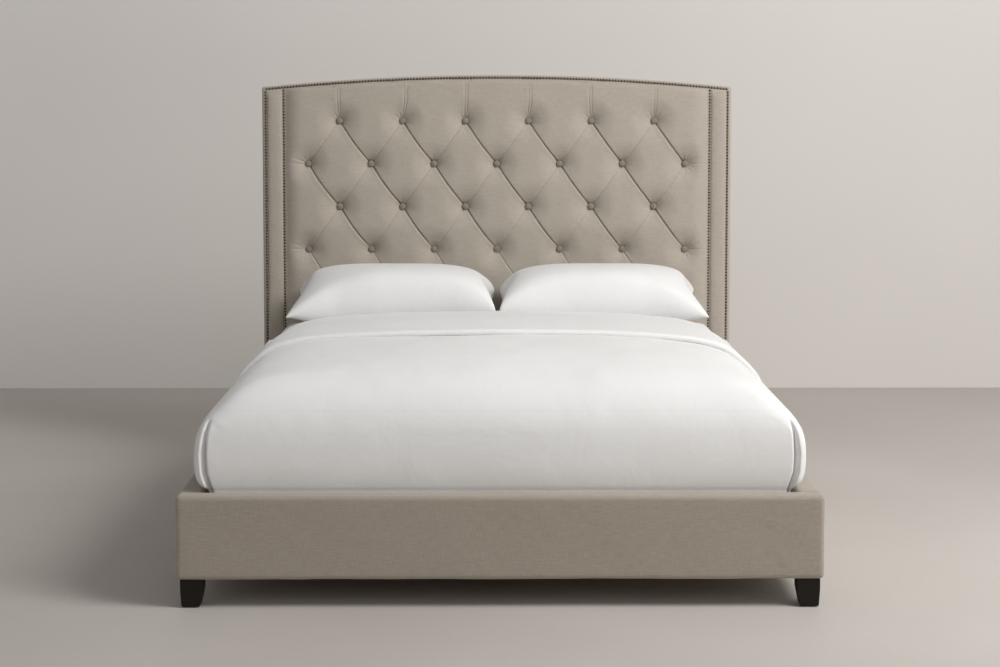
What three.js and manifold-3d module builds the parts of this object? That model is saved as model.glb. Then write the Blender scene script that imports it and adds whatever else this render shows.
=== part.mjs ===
// An upholstered queen bed: a button-tufted headboard with nail trim, padded rails on short
// legs, a slatted base, and its bedding. Millimetres, +Z up, +Y towards the headboard.
// The origin is on the floor, under the middle of the bed.
import * as THREE from 'three';
import { RoundedBoxGeometry } from 'three/addons/geometries/RoundedBoxGeometry.js';
import { mergeVertices } from 'three/addons/utils/BufferGeometryUtils.js';
import Module from 'manifold-3d';

// ---- Driving dimensions -------------------------------------------------------------------

const GAP = 0.3; // left between pieces that touch

const BED_WIDTH = 1651;
const BED_LENGTH = 2220;
const CROWN_HEIGHT = 1372; // top of the headboard at its middle
const SHOULDER_HEIGHT = 1330; // top of the headboard at its corners
const HEADBOARD_DEPTH = 115; // at the plain border, from back cover to front face

const LEG_HEIGHT = 73;
const RAIL_HEIGHT = 216;
const RAIL_THICKNESS = 62;
const RAIL_BOARD_THICKNESS = 38;
const RAIL_PADDING = 12; // foam and fabric above and below a rail's board
const RAIL_CORNER = 14;

const COVER_WALL = 12; // padding and fabric on the headboard's sides and top
const BACK_COVER = 3;
const BACKER_THICKNESS = 12;
const TIMBER_DEPTH = 45;
const POST_WIDTH = 90;
const TUFT_RISE = 20; // how far the tufted panel stands in front of the border
const BORDER_WIDTH = 64;

const BUTTON_RADIUS = 10.5;
const BUTTON_PITCH_X = 221.5;
const BUTTON_PITCH_Z = 151.2;
const TOP_ROW_Z = 1212;
const BUTTON_COUNTS = [6, 7, 6, 7, 6]; // from the top row down
const TWINE_RADIUS = 1.5;

const NAIL_WIDTH = 9.5;
const NAIL_DEPTH = 2.5;
const NAIL_INSET_SIDE = 13; // from the headboard's edge to the middle of a side row
const NAIL_INSET_TOP = 8;

const SLAT_COUNT = 10;
const SLAT_WIDTH = 90;
const SLAT_THICKNESS = 20;
const SLAT_TOP = 240;

const MATTRESS_WIDTH = 1492;
const MATTRESS_LENGTH = 2000;
const MATTRESS_TOP = 500;
const SHEET_THICKNESS = 2;

const DUVET_TOP = 602;
const DUVET_HEAD_Y = 425; // where the duvet stops, in front of the pillows
const TURN_DOWN_Y = -250; // front edge of the turned-down band
const TURN_DOWN_LAYER = 15;

const PILLOW_WIDTH = 686;
const PILLOW_DEPTH = 505;
const PILLOW_THICKNESS = 228;

// ---- Worked out from them -----------------------------------------------------------------

const HALF_WIDTH = BED_WIDTH / 2;
const FOOT_Y = -BED_LENGTH / 2;
const BACK_Y = BED_LENGTH / 2;
const FACE_Y = BACK_Y - HEADBOARD_DEPTH; // front face of the headboard's border
const RAIL_TOP = LEG_HEIGHT + RAIL_HEIGHT;
const BAY_X = HALF_WIDTH - RAIL_THICKNESS; // inner face of a side rail
const BAY_FOOT_Y = FOOT_Y + RAIL_THICKNESS;
const TIMBER_BACK_Y = BACK_Y - BACK_COVER - GAP;
const TIMBER_FRONT_Y = TIMBER_BACK_Y - TIMBER_DEPTH;
const BACKER_BACK_Y = TIMBER_FRONT_Y - GAP;
const BACKER_FRONT_Y = BACKER_BACK_Y - BACKER_THICKNESS;
const INNER_HALF = HALF_WIDTH - COVER_WALL - GAP; // half width of what is inside the cover
const SEAM_X = INNER_HALF - BORDER_WIDTH; // seam between tufted panel and border
const ARCH_DROP = CROWN_HEIGHT - SHOULDER_HEIGHT;
const ARCH_RADIUS = (HALF_WIDTH ** 2 + ARCH_DROP ** 2) / (2 * ARCH_DROP);
const ARCH_CENTRE_Z = CROWN_HEIGHT - ARCH_RADIUS;
const MATTRESS_BACK_Y = FACE_Y - TUFT_RISE - 7;
const MATTRESS_FRONT_Y = MATTRESS_BACK_Y - MATTRESS_LENGTH;
const SHEET_TOP = MATTRESS_TOP + GAP + SHEET_THICKNESS;

const archZ = (x, inset = 0) =>
  ARCH_CENTRE_Z + Math.sqrt((ARCH_RADIUS - inset) ** 2 - x ** 2);

// ---- Materials ----------------------------------------------------------------------------

const FINISHES = {
  linen: { color: 0xa0978c, roughness: 0.9, metalness: 0 },
  pine: { color: 0xc9a878, roughness: 0.7, metalness: 0 },
  plywood: { color: 0xb8946a, roughness: 0.75, metalness: 0 },
  espresso: { color: 0x1f1a16, roughness: 0.45, metalness: 0 },
  bronze: { color: 0x6b5a45, roughness: 0.35, metalness: 0.9 },
  steel: { color: 0x8d9093, roughness: 0.4, metalness: 0.9 },
  nylon: { color: 0x2b2b2b, roughness: 0.6, metalness: 0 },
  ticking: { color: 0xe6e3dc, roughness: 0.9, metalness: 0 },
  cotton: { color: 0xf1f0ee, roughness: 0.85, metalness: 0 },
};

const bed = new THREE.Group();

function addPiece(name, geometry, finish) {
  const piece = new THREE.Mesh(geometry, new THREE.MeshStandardMaterial(FINISHES[finish]));
  piece.name = name;
  bed.add(piece);
  return piece;
}

// ---- Geometry helpers ---------------------------------------------------------------------

const wasm = await Module();
wasm.setup();

function asSolid(geometry) {
  const bare = geometry.clone();
  bare.deleteAttribute('normal');
  bare.deleteAttribute('uv');
  const merged = mergeVertices(bare, 1e-4);
  const vertProperties = new Float32Array(merged.attributes.position.array);
  const triVerts = new Uint32Array(merged.index.array);
  return new wasm.Manifold(new wasm.Mesh({ numProp: 3, vertProperties, triVerts }));
}

function asGeometry(solid) {
  const mesh = solid.getMesh();
  const geometry = new THREE.BufferGeometry();
  geometry.setAttribute('position', new THREE.BufferAttribute(mesh.vertProperties, 3));
  geometry.setIndex(new THREE.BufferAttribute(mesh.triVerts, 1));
  return geometry;
}

function cut(geometry, tools) {
  return asGeometry(tools.reduce((solid, tool) => solid.subtract(asSolid(tool)), asSolid(geometry)));
}

function join(geometries) {
  return asGeometry(geometries.map(asSolid).reduce((all, one) => all.add(one)));
}

function block([x0, x1], [y0, y1], [z0, z1]) {
  const box = new THREE.BoxGeometry(x1 - x0, y1 - y0, z1 - z0);
  return box.translate((x0 + x1) / 2, (y0 + y1) / 2, (z0 + z1) / 2);
}

function roundedBlock([x0, x1], [y0, y1], [z0, z1], radius, segments = 3) {
  const box = new RoundedBoxGeometry(x1 - x0, y1 - y0, z1 - z0, segments, radius);
  return box.translate((x0 + x1) / 2, (y0 + y1) / 2, (z0 + z1) / 2);
}

// The same span on the other side of the bed.
const mirrored = ([low, high]) => [-high, -low];
const SIDES = [
  { side: 'left', onSide: mirrored, sign: -1 },
  { side: 'right', onSide: (span) => span, sign: 1 },
];

// A closed solid through rings of points, all of the same length and in the same order.
// flat(point) gives the two coordinates that the end rings are filled in.
function loft(rings, flat) {
  const count = rings[0].length;
  const positions = rings.flatMap((ring) => ring.flatMap((p) => [p.x, p.y, p.z]));
  const index = [];
  for (let r = 0; r + 1 < rings.length; r += 1) {
    for (let i = 0; i < count; i += 1) {
      const next = (i + 1) % count;
      const [a, b] = [r * count + i, r * count + next];
      index.push(a, b, b + count, a, b + count, a + count);
    }
  }
  const fill = (ring) => {
    const outline = ring.map(flat);
    const turn = (corners) => Math.sign(THREE.ShapeUtils.area(corners));
    const ringTurn = turn(outline);
    return THREE.ShapeUtils.triangulateShape(outline, []).map(([a, b, c]) => (
      turn([outline[a], outline[b], outline[c]]) === ringTurn ? [a, b, c] : [a, c, b]
    ));
  };
  const last = (rings.length - 1) * count;
  for (const [a, b, c] of fill(rings[0])) index.push(a, c, b);
  for (const [a, b, c] of fill(rings.at(-1))) index.push(last + a, last + b, last + c);
  const geometry = new THREE.BufferGeometry();
  geometry.setAttribute('position', new THREE.Float32BufferAttribute(positions, 3));
  geometry.setIndex(index);
  return facingOut(geometry);
}

function facingOut(geometry) {
  const at = geometry.attributes.position;
  const index = geometry.index.array;
  const [a, b, c] = [new THREE.Vector3(), new THREE.Vector3(), new THREE.Vector3()];
  let volume = 0;
  for (let i = 0; i < index.length; i += 3) {
    a.fromBufferAttribute(at, index[i]);
    b.fromBufferAttribute(at, index[i + 1]);
    c.fromBufferAttribute(at, index[i + 2]);
    volume += a.dot(b.cross(c));
  }
  if (volume < 0) geometry.setIndex(Array.from(index).reverse());
  return geometry;
}

const frontView = (p) => new THREE.Vector2(p.x, p.z);
const planView = (p) => new THREE.Vector2(p.x, p.y);

// Outline of a headboard layer: square at the bottom, arched at the top, facing along Y.
function archRing(xSpan, bottom, y, topInset, inset = 0, steps = 24) {
  const [x0, x1] = [xSpan[0] + inset, xSpan[1] - inset];
  const top = Array.from({ length: steps + 1 }, (_, i) => x0 + ((x1 - x0) * i) / steps);
  return [
    new THREE.Vector3(x1, y, bottom + inset),
    new THREE.Vector3(x0, y, bottom + inset),
    ...top.map((x) => new THREE.Vector3(x, y, archZ(x, topInset + inset))),
  ];
}

// A headboard layer through [y, inset] pairs, from its back to its front.
function archLayer(xSpan, bottom, topInset, layers, steps) {
  const rings = layers.map(([y, inset]) => archRing(xSpan, bottom, y, topInset, inset, steps));
  return loft(rings, frontView);
}

// ---- Headboard frame ----------------------------------------------------------------------

const timberSpan = [TIMBER_FRONT_Y, TIMBER_BACK_Y];
const postSpan = [INNER_HALF - POST_WIDTH, INNER_HALF];
const betweenPosts = [-(postSpan[0] - GAP), postSpan[0] - GAP];
const postTop = archZ(INNER_HALF, COVER_WALL) - 2;

for (const { side, onSide } of SIDES) {
  const post = block(onSide(postSpan), timberSpan, [LEG_HEIGHT + GAP, postTop]);
  addPiece(`headboard_post_${side}`, post, 'pine');
}

const middleRailBottom = TOP_ROW_Z - 2.5 * BUTTON_PITCH_Z - POST_WIDTH / 2;
addPiece(
  'headboard_middle_rail',
  block(betweenPosts, timberSpan, [middleRailBottom, middleRailBottom + POST_WIDTH]),
  'pine',
);

const topRailBottom = TOP_ROW_Z + 28;
addPiece(
  'headboard_top_rail',
  archLayer(betweenPosts, topRailBottom, COVER_WALL + GAP, [
    [TIMBER_BACK_Y, 0],
    [TIMBER_FRONT_Y, 0],
  ]),
  'pine',
);

const insideSpan = [-INNER_HALF, INNER_HALF];
const beamSpan = [FACE_Y + 2 * GAP, BACKER_BACK_Y];
addPiece('headboard_lower_beam', block(insideSpan, beamSpan, [90, RAIL_TOP]), 'pine');

// ---- Tufted panel, buttons and backer board -----------------------------------------------

const padBottom = RAIL_TOP + GAP;
const padBack = BACKER_FRONT_Y - GAP;
const tuftFront = FACE_Y - TUFT_RISE;
const pocketFloor = FACE_Y + 5;

const buttonRows = BUTTON_COUNTS.map((count, row) => {
  const z = TOP_ROW_Z - row * BUTTON_PITCH_Z;
  const first = (-(count - 1) / 2) * BUTTON_PITCH_X;
  return Array.from({ length: count }, (_, i) => ({ x: first + i * BUTTON_PITCH_X, z }));
});
const buttonPlaces = buttonRows.flat();

// A round bar along Y.
function barAlongY({ x, z }, radius, [y0, y1], sides) {
  const bar = new THREE.CylinderGeometry(radius, radius, y1 - y0, sides);
  return bar.translate(x, (y0 + y1) / 2, z);
}

const twineHole = (place, span) => barAlongY(place, TWINE_RADIUS + 0.9, span, 6);

const tuftedSlab = archLayer([-SEAM_X + GAP, SEAM_X - GAP], padBottom, COVER_WALL + GAP, [
  [padBack, 0],
  [FACE_Y, 0],
  [FACE_Y, 6],
  [FACE_Y - 0.6 * TUFT_RISE, 10],
  [FACE_Y - 0.9 * TUFT_RISE, 22],
  [tuftFront, 40],
]);
const pockets = buttonPlaces.map((place) =>
  barAlongY(place, BUTTON_RADIUS + 2.5, [tuftFront - 5, pocketFloor], 12),
);
const channels = buttonPlaces.map((place) => twineHole(place, [pocketFloor - 1, padBack + 1]));
addPiece('tufted_panel', cut(tuftedSlab, [...pockets, ...channels]), 'linen');

const backerSlab = archLayer(insideSpan, padBottom, COVER_WALL + GAP, [
  [BACKER_BACK_Y, 0],
  [BACKER_FRONT_Y, 0],
]);
const backerHoles = buttonPlaces.map((place) =>
  twineHole(place, [BACKER_FRONT_Y - 1, BACKER_BACK_Y + 1]),
);
addPiece('headboard_backer_board', cut(backerSlab, backerHoles), 'plywood');

// A covered button: a dome on a flat back, facing -Y.
const BUTTON_RIM = 1.5;
const BUTTON_RISE = 8;
const domeProfile = [0, 0.25, 0.5, 0.75].map((share) => {
  const angle = (share * Math.PI) / 2;
  return new THREE.Vector2(
    BUTTON_RADIUS * Math.cos(angle),
    BUTTON_RIM + BUTTON_RISE * Math.sin(angle),
  );
});

function buttonGeometry({ x, z }) {
  const profile = [
    new THREE.Vector2(0, 0),
    new THREE.Vector2(BUTTON_RADIUS, 0),
    ...domeProfile,
    new THREE.Vector2(0, BUTTON_RIM + BUTTON_RISE),
  ];
  return new THREE.LatheGeometry(profile, 12).rotateX(Math.PI).translate(x, pocketFloor - GAP, z);
}

buttonRows.forEach((places, row) => {
  const knotY = BACKER_BACK_Y + GAP;
  const run = block(
    [places[0].x - 4, places.at(-1).x + 4],
    [knotY, knotY + 2 * TWINE_RADIUS],
    [places[0].z - TWINE_RADIUS, places[0].z + TWINE_RADIUS],
  );
  const twines = places.map((place) =>
    barAlongY(place, TWINE_RADIUS, [pocketFloor - 2, knotY + 1], 6),
  );
  addPiece(`button_row_${row + 1}`, join([run, ...twines, ...places.map(buttonGeometry)]), 'linen');
});

// ---- Border pads, outer cover and nail trim -----------------------------------------------

const borderSpan = [SEAM_X, INNER_HALF];
for (const { side, onSide } of SIDES) {
  const pad = archLayer(onSide(borderSpan), padBottom, COVER_WALL + GAP, [
    [padBack, 0],
    [FACE_Y, 0],
    [FACE_Y, 6],
    [FACE_Y - 4, 12],
    [FACE_Y - 5, 20],
  ], 4);
  addPiece(`border_pad_${side}`, pad, 'linen');
}

const fullSpan = [-HALF_WIDTH, HALF_WIDTH];
const coverOutside = archLayer(fullSpan, LEG_HEIGHT, 0, [
  [BACK_Y, 5],
  [BACK_Y - 3, 1.5],
  [BACK_Y - 6, 0],
  [FACE_Y + 8, 0],
  [FACE_Y + 2, 2.5],
  [FACE_Y, 8],
]);
const coverWalls = [-HALF_WIDTH + COVER_WALL, HALF_WIDTH - COVER_WALL];
const coverInside = archLayer(coverWalls, LEG_HEIGHT - 20, COVER_WALL, [
  [BACK_Y - BACK_COVER, 0],
  [FACE_Y - 10, 0],
]);
addPiece('headboard_outer_cover', cut(coverOutside, [coverInside]), 'linen');

const nailSpan = [FACE_Y - GAP - NAIL_DEPTH, FACE_Y - GAP];
const nailRowX = { outer: HALF_WIDTH - NAIL_INSET_SIDE, inner: SEAM_X };
for (const [row, middle] of Object.entries(nailRowX)) {
  for (const { side, onSide } of SIDES) {
    const across = onSide([middle - NAIL_WIDTH / 2, middle + NAIL_WIDTH / 2]);
    const top = archZ(middle + NAIL_WIDTH / 2, NAIL_INSET_TOP + NAIL_WIDTH / 2) - 2;
    addPiece(`nail_strip_${row}_${side}`, block(across, nailSpan, [padBottom, top]), 'bronze');
  }
}

function topNailStrip() {
  const half = nailRowX.outer + NAIL_WIDTH / 2;
  const steps = 24;
  const xs = Array.from({ length: steps + 1 }, (_, i) => -half + (2 * half * i) / steps);
  const edge = (inset) => xs.map((x) => [x, archZ(x, inset)]);
  const outline = [
    ...edge(NAIL_INSET_TOP - NAIL_WIDTH / 2),
    ...edge(NAIL_INSET_TOP + NAIL_WIDTH / 2).reverse(),
  ];
  const ring = (y) => outline.map(([x, z]) => new THREE.Vector3(x, y, z));
  return loft(nailSpan.map(ring), frontView);
}
addPiece('nail_strip_top', topNailStrip(), 'bronze');

// ---- Rails --------------------------------------------------------------------------------

const boardZ = [LEG_HEIGHT + RAIL_PADDING, RAIL_TOP - RAIL_PADDING];
const footBoardX = HALF_WIDTH - RAIL_PADDING;
const footBoardY = [BAY_FOOT_Y - RAIL_BOARD_THICKNESS, BAY_FOOT_Y];

const footPad = roundedBlock(fullSpan, [FOOT_Y, BAY_FOOT_Y], [LEG_HEIGHT, RAIL_TOP], RAIL_CORNER);
const footHollow = block(
  [-footBoardX, footBoardX],
  [footBoardY[0], BAY_FOOT_Y + 10],
  boardZ,
);
addPiece('foot_rail_cover', cut(footPad, [footHollow]), 'linen');
addPiece(
  'foot_rail_board',
  block(
    [-footBoardX + GAP, footBoardX - GAP],
    [footBoardY[0] + GAP, footBoardY[1]],
    [boardZ[0] + GAP, boardZ[1] - GAP],
  ),
  'pine',
);

// Section of a side rail's cover: it wraps the top, the outside and the bottom of the board.
function railCoverShape() {
  const innerX = BAY_X + RAIL_BOARD_THICKNESS;
  const shape = new THREE.Shape();
  shape.moveTo(BAY_X, LEG_HEIGHT);
  shape.lineTo(HALF_WIDTH - RAIL_CORNER, LEG_HEIGHT);
  shape.absarc(HALF_WIDTH - RAIL_CORNER, LEG_HEIGHT + RAIL_CORNER, RAIL_CORNER, -Math.PI / 2, 0);
  shape.absarc(HALF_WIDTH - RAIL_CORNER, RAIL_TOP - RAIL_CORNER, RAIL_CORNER, 0, Math.PI / 2);
  shape.lineTo(BAY_X, RAIL_TOP);
  shape.lineTo(BAY_X, boardZ[1]);
  shape.lineTo(innerX, boardZ[1]);
  shape.lineTo(innerX, boardZ[0]);
  shape.lineTo(BAY_X, boardZ[0]);
  shape.closePath();
  return shape;
}

const railSpan = [BAY_FOOT_Y + GAP, FACE_Y - GAP];

function railCover(sign) {
  const depth = railSpan[1] - railSpan[0];
  const cover = new THREE.ExtrudeGeometry(railCoverShape(), { depth, curveSegments: 4, bevelEnabled: false });
  cover.rotateX(Math.PI / 2);
  cover.translate(0, railSpan[1], 0);
  if (sign > 0) return cover;
  return cut(cover, []).rotateZ(Math.PI).translate(0, railSpan[0] + railSpan[1], 0);
}

for (const { side, onSide, sign } of SIDES) {
  addPiece(`side_rail_cover_${side}`, railCover(sign), 'linen');
  const across = onSide([BAY_X, BAY_X + RAIL_BOARD_THICKNESS - GAP]);
  const board = block(across, railSpan, [boardZ[0] + GAP, boardZ[1] - GAP]);
  addPiece(`side_rail_board_${side}`, board, 'pine');
}

// ---- Slatted base -------------------------------------------------------------------------

const slatBottom = SLAT_TOP - SLAT_THICKNESS;
const ledgeWidth = 28;
const ledgeHeight = 40;
for (const { side, onSide } of SIDES) {
  const across = onSide([BAY_X - GAP - ledgeWidth, BAY_X - GAP]);
  const upright = [slatBottom - GAP - ledgeHeight, slatBottom - GAP];
  addPiece(`slat_ledge_${side}`, block(across, [BAY_FOOT_Y + 10, FACE_Y - 10], upright), 'pine');
}

const beamWidth = 60;
const beamHeight = 70;
const beamTop = slatBottom - GAP;
addPiece(
  'centre_beam',
  block(
    [-beamWidth / 2, beamWidth / 2],
    [BAY_FOOT_Y + 1, FACE_Y - 1],
    [beamTop - beamHeight, beamTop],
  ),
  'pine',
);

const centreLegTop = beamTop - beamHeight - GAP;
const centreLegs = { front: -690, middle: -20, rear: 650 };
for (const [name, y] of Object.entries(centreLegs)) {
  const leg = block([-20, 20], [y - 20, y + 20], [0, centreLegTop]);
  addPiece(`centre_leg_${name}`, leg, 'espresso');
}

const slatReach = BAY_X - 6;
const firstSlatY = BAY_FOOT_Y + 30 + SLAT_WIDTH / 2;
const lastSlatY = FACE_Y - 60 - SLAT_WIDTH / 2;
for (let i = 0; i < SLAT_COUNT; i += 1) {
  const y = firstSlatY + ((lastSlatY - firstSlatY) * i) / (SLAT_COUNT - 1);
  const slat = block(
    [-slatReach, slatReach],
    [y - SLAT_WIDTH / 2, y + SLAT_WIDTH / 2],
    [slatBottom, SLAT_TOP],
  );
  addPiece(`slat_${String(i + 1).padStart(2, '0')}`, slat, 'pine');
}

// Steel angle plates that hold the side rails to the foot rail and to the headboard's beam.
const plate = 4;
const plateReach = 60;
const plateZ = [86, 172];
for (const { side, onSide } of SIDES) {
  for (const [end, wall, inward] of [['foot', BAY_FOOT_Y + GAP, 1], ['head', FACE_Y - GAP, -1]]) {
    const along = [wall, wall + inward * plateReach].sort((a, b) => a - b);
    const across = [wall, wall + inward * plate].sort((a, b) => a - b);
    const onRail = block(onSide([BAY_X - GAP - plate, BAY_X - GAP]), along, plateZ);
    const onEnd = block(onSide([BAY_X - GAP - plateReach, BAY_X - GAP]), across, plateZ);
    addPiece(`corner_bracket_${end}_${side}`, join([onRail, onEnd]), 'steel');
  }
}

// ---- Legs and glides ----------------------------------------------------------------------

const legWidth = 57;
const legDepth = 60;
const legOuterX = HALF_WIDTH - 10;
const glideHeight = 3;
const glideRadius = 14;
const legTaper = 8; // how far the inner and the hidden face come in towards the floor
const outerTaper = 3;
const straightHeight = 28;

// One leg: straight at the top, then tapered. hiddenSide is +1 where its hidden face is at +Y.
function legRings(outerX, sign, showY, hiddenSide) {
  const ring = (z, inner, outer) => {
    const [xo, xi] = [sign * (outerX - outer), sign * (outerX - legWidth + inner)];
    const [ys, yh] = [showY, showY + hiddenSide * (legDepth - inner)];
    return [
      new THREE.Vector3(xo, ys, z),
      new THREE.Vector3(xi, ys, z),
      new THREE.Vector3(xi, yh, z),
      new THREE.Vector3(xo, yh, z),
    ];
  };
  return [
    ring(LEG_HEIGHT - GAP, 0, 0),
    ring(LEG_HEIGHT - GAP - straightHeight, 0, 0),
    ring(glideHeight + GAP, legTaper, outerTaper),
  ];
}

const legPlaces = [
  { end: 'front', showY: FOOT_Y + 7, hiddenSide: 1 },
  { end: 'rear', showY: BACK_Y - 4, hiddenSide: -1 },
];
for (const { end, showY, hiddenSide } of legPlaces) {
  for (const { side, sign } of SIDES) {
    addPiece(`${end}_leg_${side}`, loft(legRings(legOuterX, sign, showY, hiddenSide), planView), 'espresso');
    const glide = new THREE.CylinderGeometry(glideRadius, glideRadius, glideHeight, 16);
    glide.rotateX(Math.PI / 2);
    const x = sign * (legOuterX - legWidth / 2);
    const y = showY + hiddenSide * (legDepth / 2 - legTaper / 2);
    addPiece(`glide_${end}_${side}`, glide.translate(x, y, glideHeight / 2), 'nylon');
  }
}

// ---- Mattress and fitted sheet ------------------------------------------------------------

const mattressX = [-MATTRESS_WIDTH / 2, MATTRESS_WIDTH / 2];
const mattressY = [MATTRESS_FRONT_Y, MATTRESS_BACK_Y];
const mattressZ = [SLAT_TOP + GAP, MATTRESS_TOP];
const mattressCorner = 40;
addPiece('mattress', roundedBlock(mattressX, mattressY, mattressZ, mattressCorner), 'ticking');

const grow = ([low, high], by) => [low - by, high + by];
const sheetReach = GAP + SHEET_THICKNESS;
const sheetBottom = SLAT_TOP + 60;
const sheetOutside = roundedBlock(
  grow(mattressX, sheetReach),
  grow(mattressY, sheetReach),
  [mattressZ[0], SHEET_TOP],
  mattressCorner + sheetReach,
);
const sheetInside = roundedBlock(
  grow(mattressX, GAP),
  grow(mattressY, GAP),
  [mattressZ[0], MATTRESS_TOP + GAP],
  mattressCorner + GAP,
);
const belowSheet = block([-BED_WIDTH, BED_WIDTH], [-BED_LENGTH, BED_LENGTH], [0, sheetBottom]);
addPiece('fitted_sheet', cut(sheetOutside, [sheetInside, belowSheet]), 'cotton');

// ---- Duvet and its turned-down band -------------------------------------------------------

const duvetLip = 252; // lower edge, tucked between mattress and rails
const lipX = BAY_X - 4;
const bulge = 39; // how far the sides hang out over the rails
const duvetFront = BAY_FOOT_Y + 2;

// Half of the duvet's cross-section, from its tucked edge to the middle of the top, as
// [share of the bulge, share of the height above the rails].
const DUVET_PROFILE = [
  [0.0, 0.03],
  [0.6, 0.08],
  [0.92, 0.17],
  [1.0, 0.31],
  [0.92, 0.43],
  [0.66, 0.54],
  [0.28, 0.61],
  [-0.88, 0.745],
  [-2.1, 0.848],
  [-3.85, 0.915],
  [-6.2, 0.951],
  [-9.5, 0.978],
  [-15.0, 0.995],
];

function duvetHalf(top, swell) {
  const rise = top - RAIL_TOP;
  const bent = DUVET_PROFILE.map(([out, up]) => {
    const x = out > 0 ? lipX + out * swell : lipX + out * bulge;
    return [x, RAIL_TOP + up * rise];
  });
  return [[lipX, duvetLip], ...bent];
}

function duvetRing(y, top, swell) {
  const half = duvetHalf(top, swell);
  const right = half.map(([x, z]) => new THREE.Vector3(x, y, z));
  const left = half.map(([x, z]) => new THREE.Vector3(-x, y, z)).reverse();
  return [...right, new THREE.Vector3(0, y, top), ...left];
}

// The top falls a little to the pillows, and to the front in a soft quarter-round, where the
// side bulge closes up too.
const headSlope = 16;
const shoulderDepth = 96;
const shoulderDrop = 118;
const frontTurns = [1, 0.8, 0.6, 0.4, 0.2, 0];
const duvetRings = [
  duvetRing(DUVET_HEAD_Y, DUVET_TOP - headSlope, bulge),
  duvetRing(50, DUVET_TOP - 2, bulge),
  duvetRing(-500, DUVET_TOP - 1, bulge),
  ...frontTurns.map((turn) => {
    const angle = (turn * Math.PI) / 2;
    const y = duvetFront + shoulderDepth * (1 - Math.cos(angle));
    const top = DUVET_TOP - 8 - shoulderDrop * (1 - Math.sin(angle));
    return duvetRing(y, top, bulge * Math.sin(angle));
  }),
];
const duvetHollow = roundedBlock(
  grow(mattressX, sheetReach + 2),
  [MATTRESS_FRONT_Y - sheetReach - 2, DUVET_HEAD_Y + 100],
  [duvetLip - 100, SHEET_TOP + 2],
  mattressCorner + sheetReach + 2,
);
addPiece('duvet', cut(loft(duvetRings, frontView), [duvetHollow]), 'cotton');

// The band lies on the duvet, from one side over the top to the other.
function bandRing([y, top]) {
  const rightHalf = duvetHalf(top, bulge).slice(3);
  const over = [...rightHalf, [0, top], ...rightHalf.map(([x, z]) => [-x, z]).reverse()];
  const outlineAt = (distance) =>
    over.map(([x, z], i) => {
      const [px, pz] = over[Math.max(i - 1, 0)];
      const [nx, nz] = over[Math.min(i + 1, over.length - 1)];
      const length = Math.hypot(nx - px, nz - pz);
      const [outX, outZ] = [(nz - pz) / length, (px - nx) / length];
      return new THREE.Vector3(x + outX * distance, y, z + outZ * distance);
    });
  const clearance = 3;
  return [...outlineAt(clearance), ...outlineAt(clearance + TURN_DOWN_LAYER).reverse()];
}
const bandStations = [
  [DUVET_HEAD_Y, DUVET_TOP - headSlope],
  [50, DUVET_TOP - 2],
  [TURN_DOWN_Y, DUVET_TOP - 1],
];
addPiece('turned_down_band', loft(bandStations.map(bandRing), frontView), 'cotton');

// ---- Pillows ------------------------------------------------------------------------------

const signedPower = (value, power) => Math.sign(value) * Math.abs(value) ** power;

// A soft block: nearly square in plan, thick in the middle and thin along its seam.
function pillowGeometry(sign) {
  const ball = new THREE.SphereGeometry(1, 32, 12);
  ball.rotateX(Math.PI / 2);
  const at = ball.attributes.position;
  const centreX = sign * (PILLOW_WIDTH / 2 + 4);
  const centreY = DUVET_HEAD_Y + 16 + PILLOW_DEPTH / 2;
  for (let i = 0; i < at.count; i += 1) {
    const [x, y, z] = [at.getX(i), at.getY(i), at.getZ(i)];
    const around = Math.hypot(x, y) || 1;
    const out = Math.hypot(x, y) ** 0.8;
    const across = signedPower(x / around, 0.45) * out * (PILLOW_WIDTH / 2);
    const along = signedPower(y / around, 0.45) * out * (PILLOW_DEPTH / 2);
    const thick = z < 0 ? z * 0.38 : z * 0.62;
    at.setXYZ(i, centreX + across, centreY + along, SHEET_TOP + 2 + PILLOW_THICKNESS * (0.38 + thick));
  }
  return cut(ball, []);
}
for (const { side, sign } of SIDES) {
  addPiece(`pillow_${side}`, pillowGeometry(sign), 'cotton');
}

export default bed;
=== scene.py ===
import math

import bmesh
import bpy
import numpy as np
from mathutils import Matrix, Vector


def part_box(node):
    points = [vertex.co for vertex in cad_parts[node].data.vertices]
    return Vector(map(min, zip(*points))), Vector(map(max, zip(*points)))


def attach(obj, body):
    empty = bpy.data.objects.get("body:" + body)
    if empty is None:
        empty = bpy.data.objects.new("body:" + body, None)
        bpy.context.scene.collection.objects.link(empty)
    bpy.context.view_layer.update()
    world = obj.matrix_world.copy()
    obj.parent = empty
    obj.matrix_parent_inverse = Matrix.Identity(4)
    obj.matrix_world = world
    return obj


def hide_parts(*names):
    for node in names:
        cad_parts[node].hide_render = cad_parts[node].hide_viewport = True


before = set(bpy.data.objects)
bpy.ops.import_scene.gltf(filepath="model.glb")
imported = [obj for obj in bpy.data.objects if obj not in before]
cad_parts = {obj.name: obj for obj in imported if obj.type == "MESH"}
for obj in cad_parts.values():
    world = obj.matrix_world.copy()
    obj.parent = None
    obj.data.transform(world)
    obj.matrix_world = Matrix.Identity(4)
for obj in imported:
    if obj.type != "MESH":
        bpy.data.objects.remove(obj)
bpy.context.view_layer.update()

# ---- Studio -------------------------------------------------------------------------------
# A pale floor and wall to stand the bed in, one large soft light up on its right, a low even
# light from all round, and the camera in front of the foot rail. None of it is part of the bed.


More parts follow.
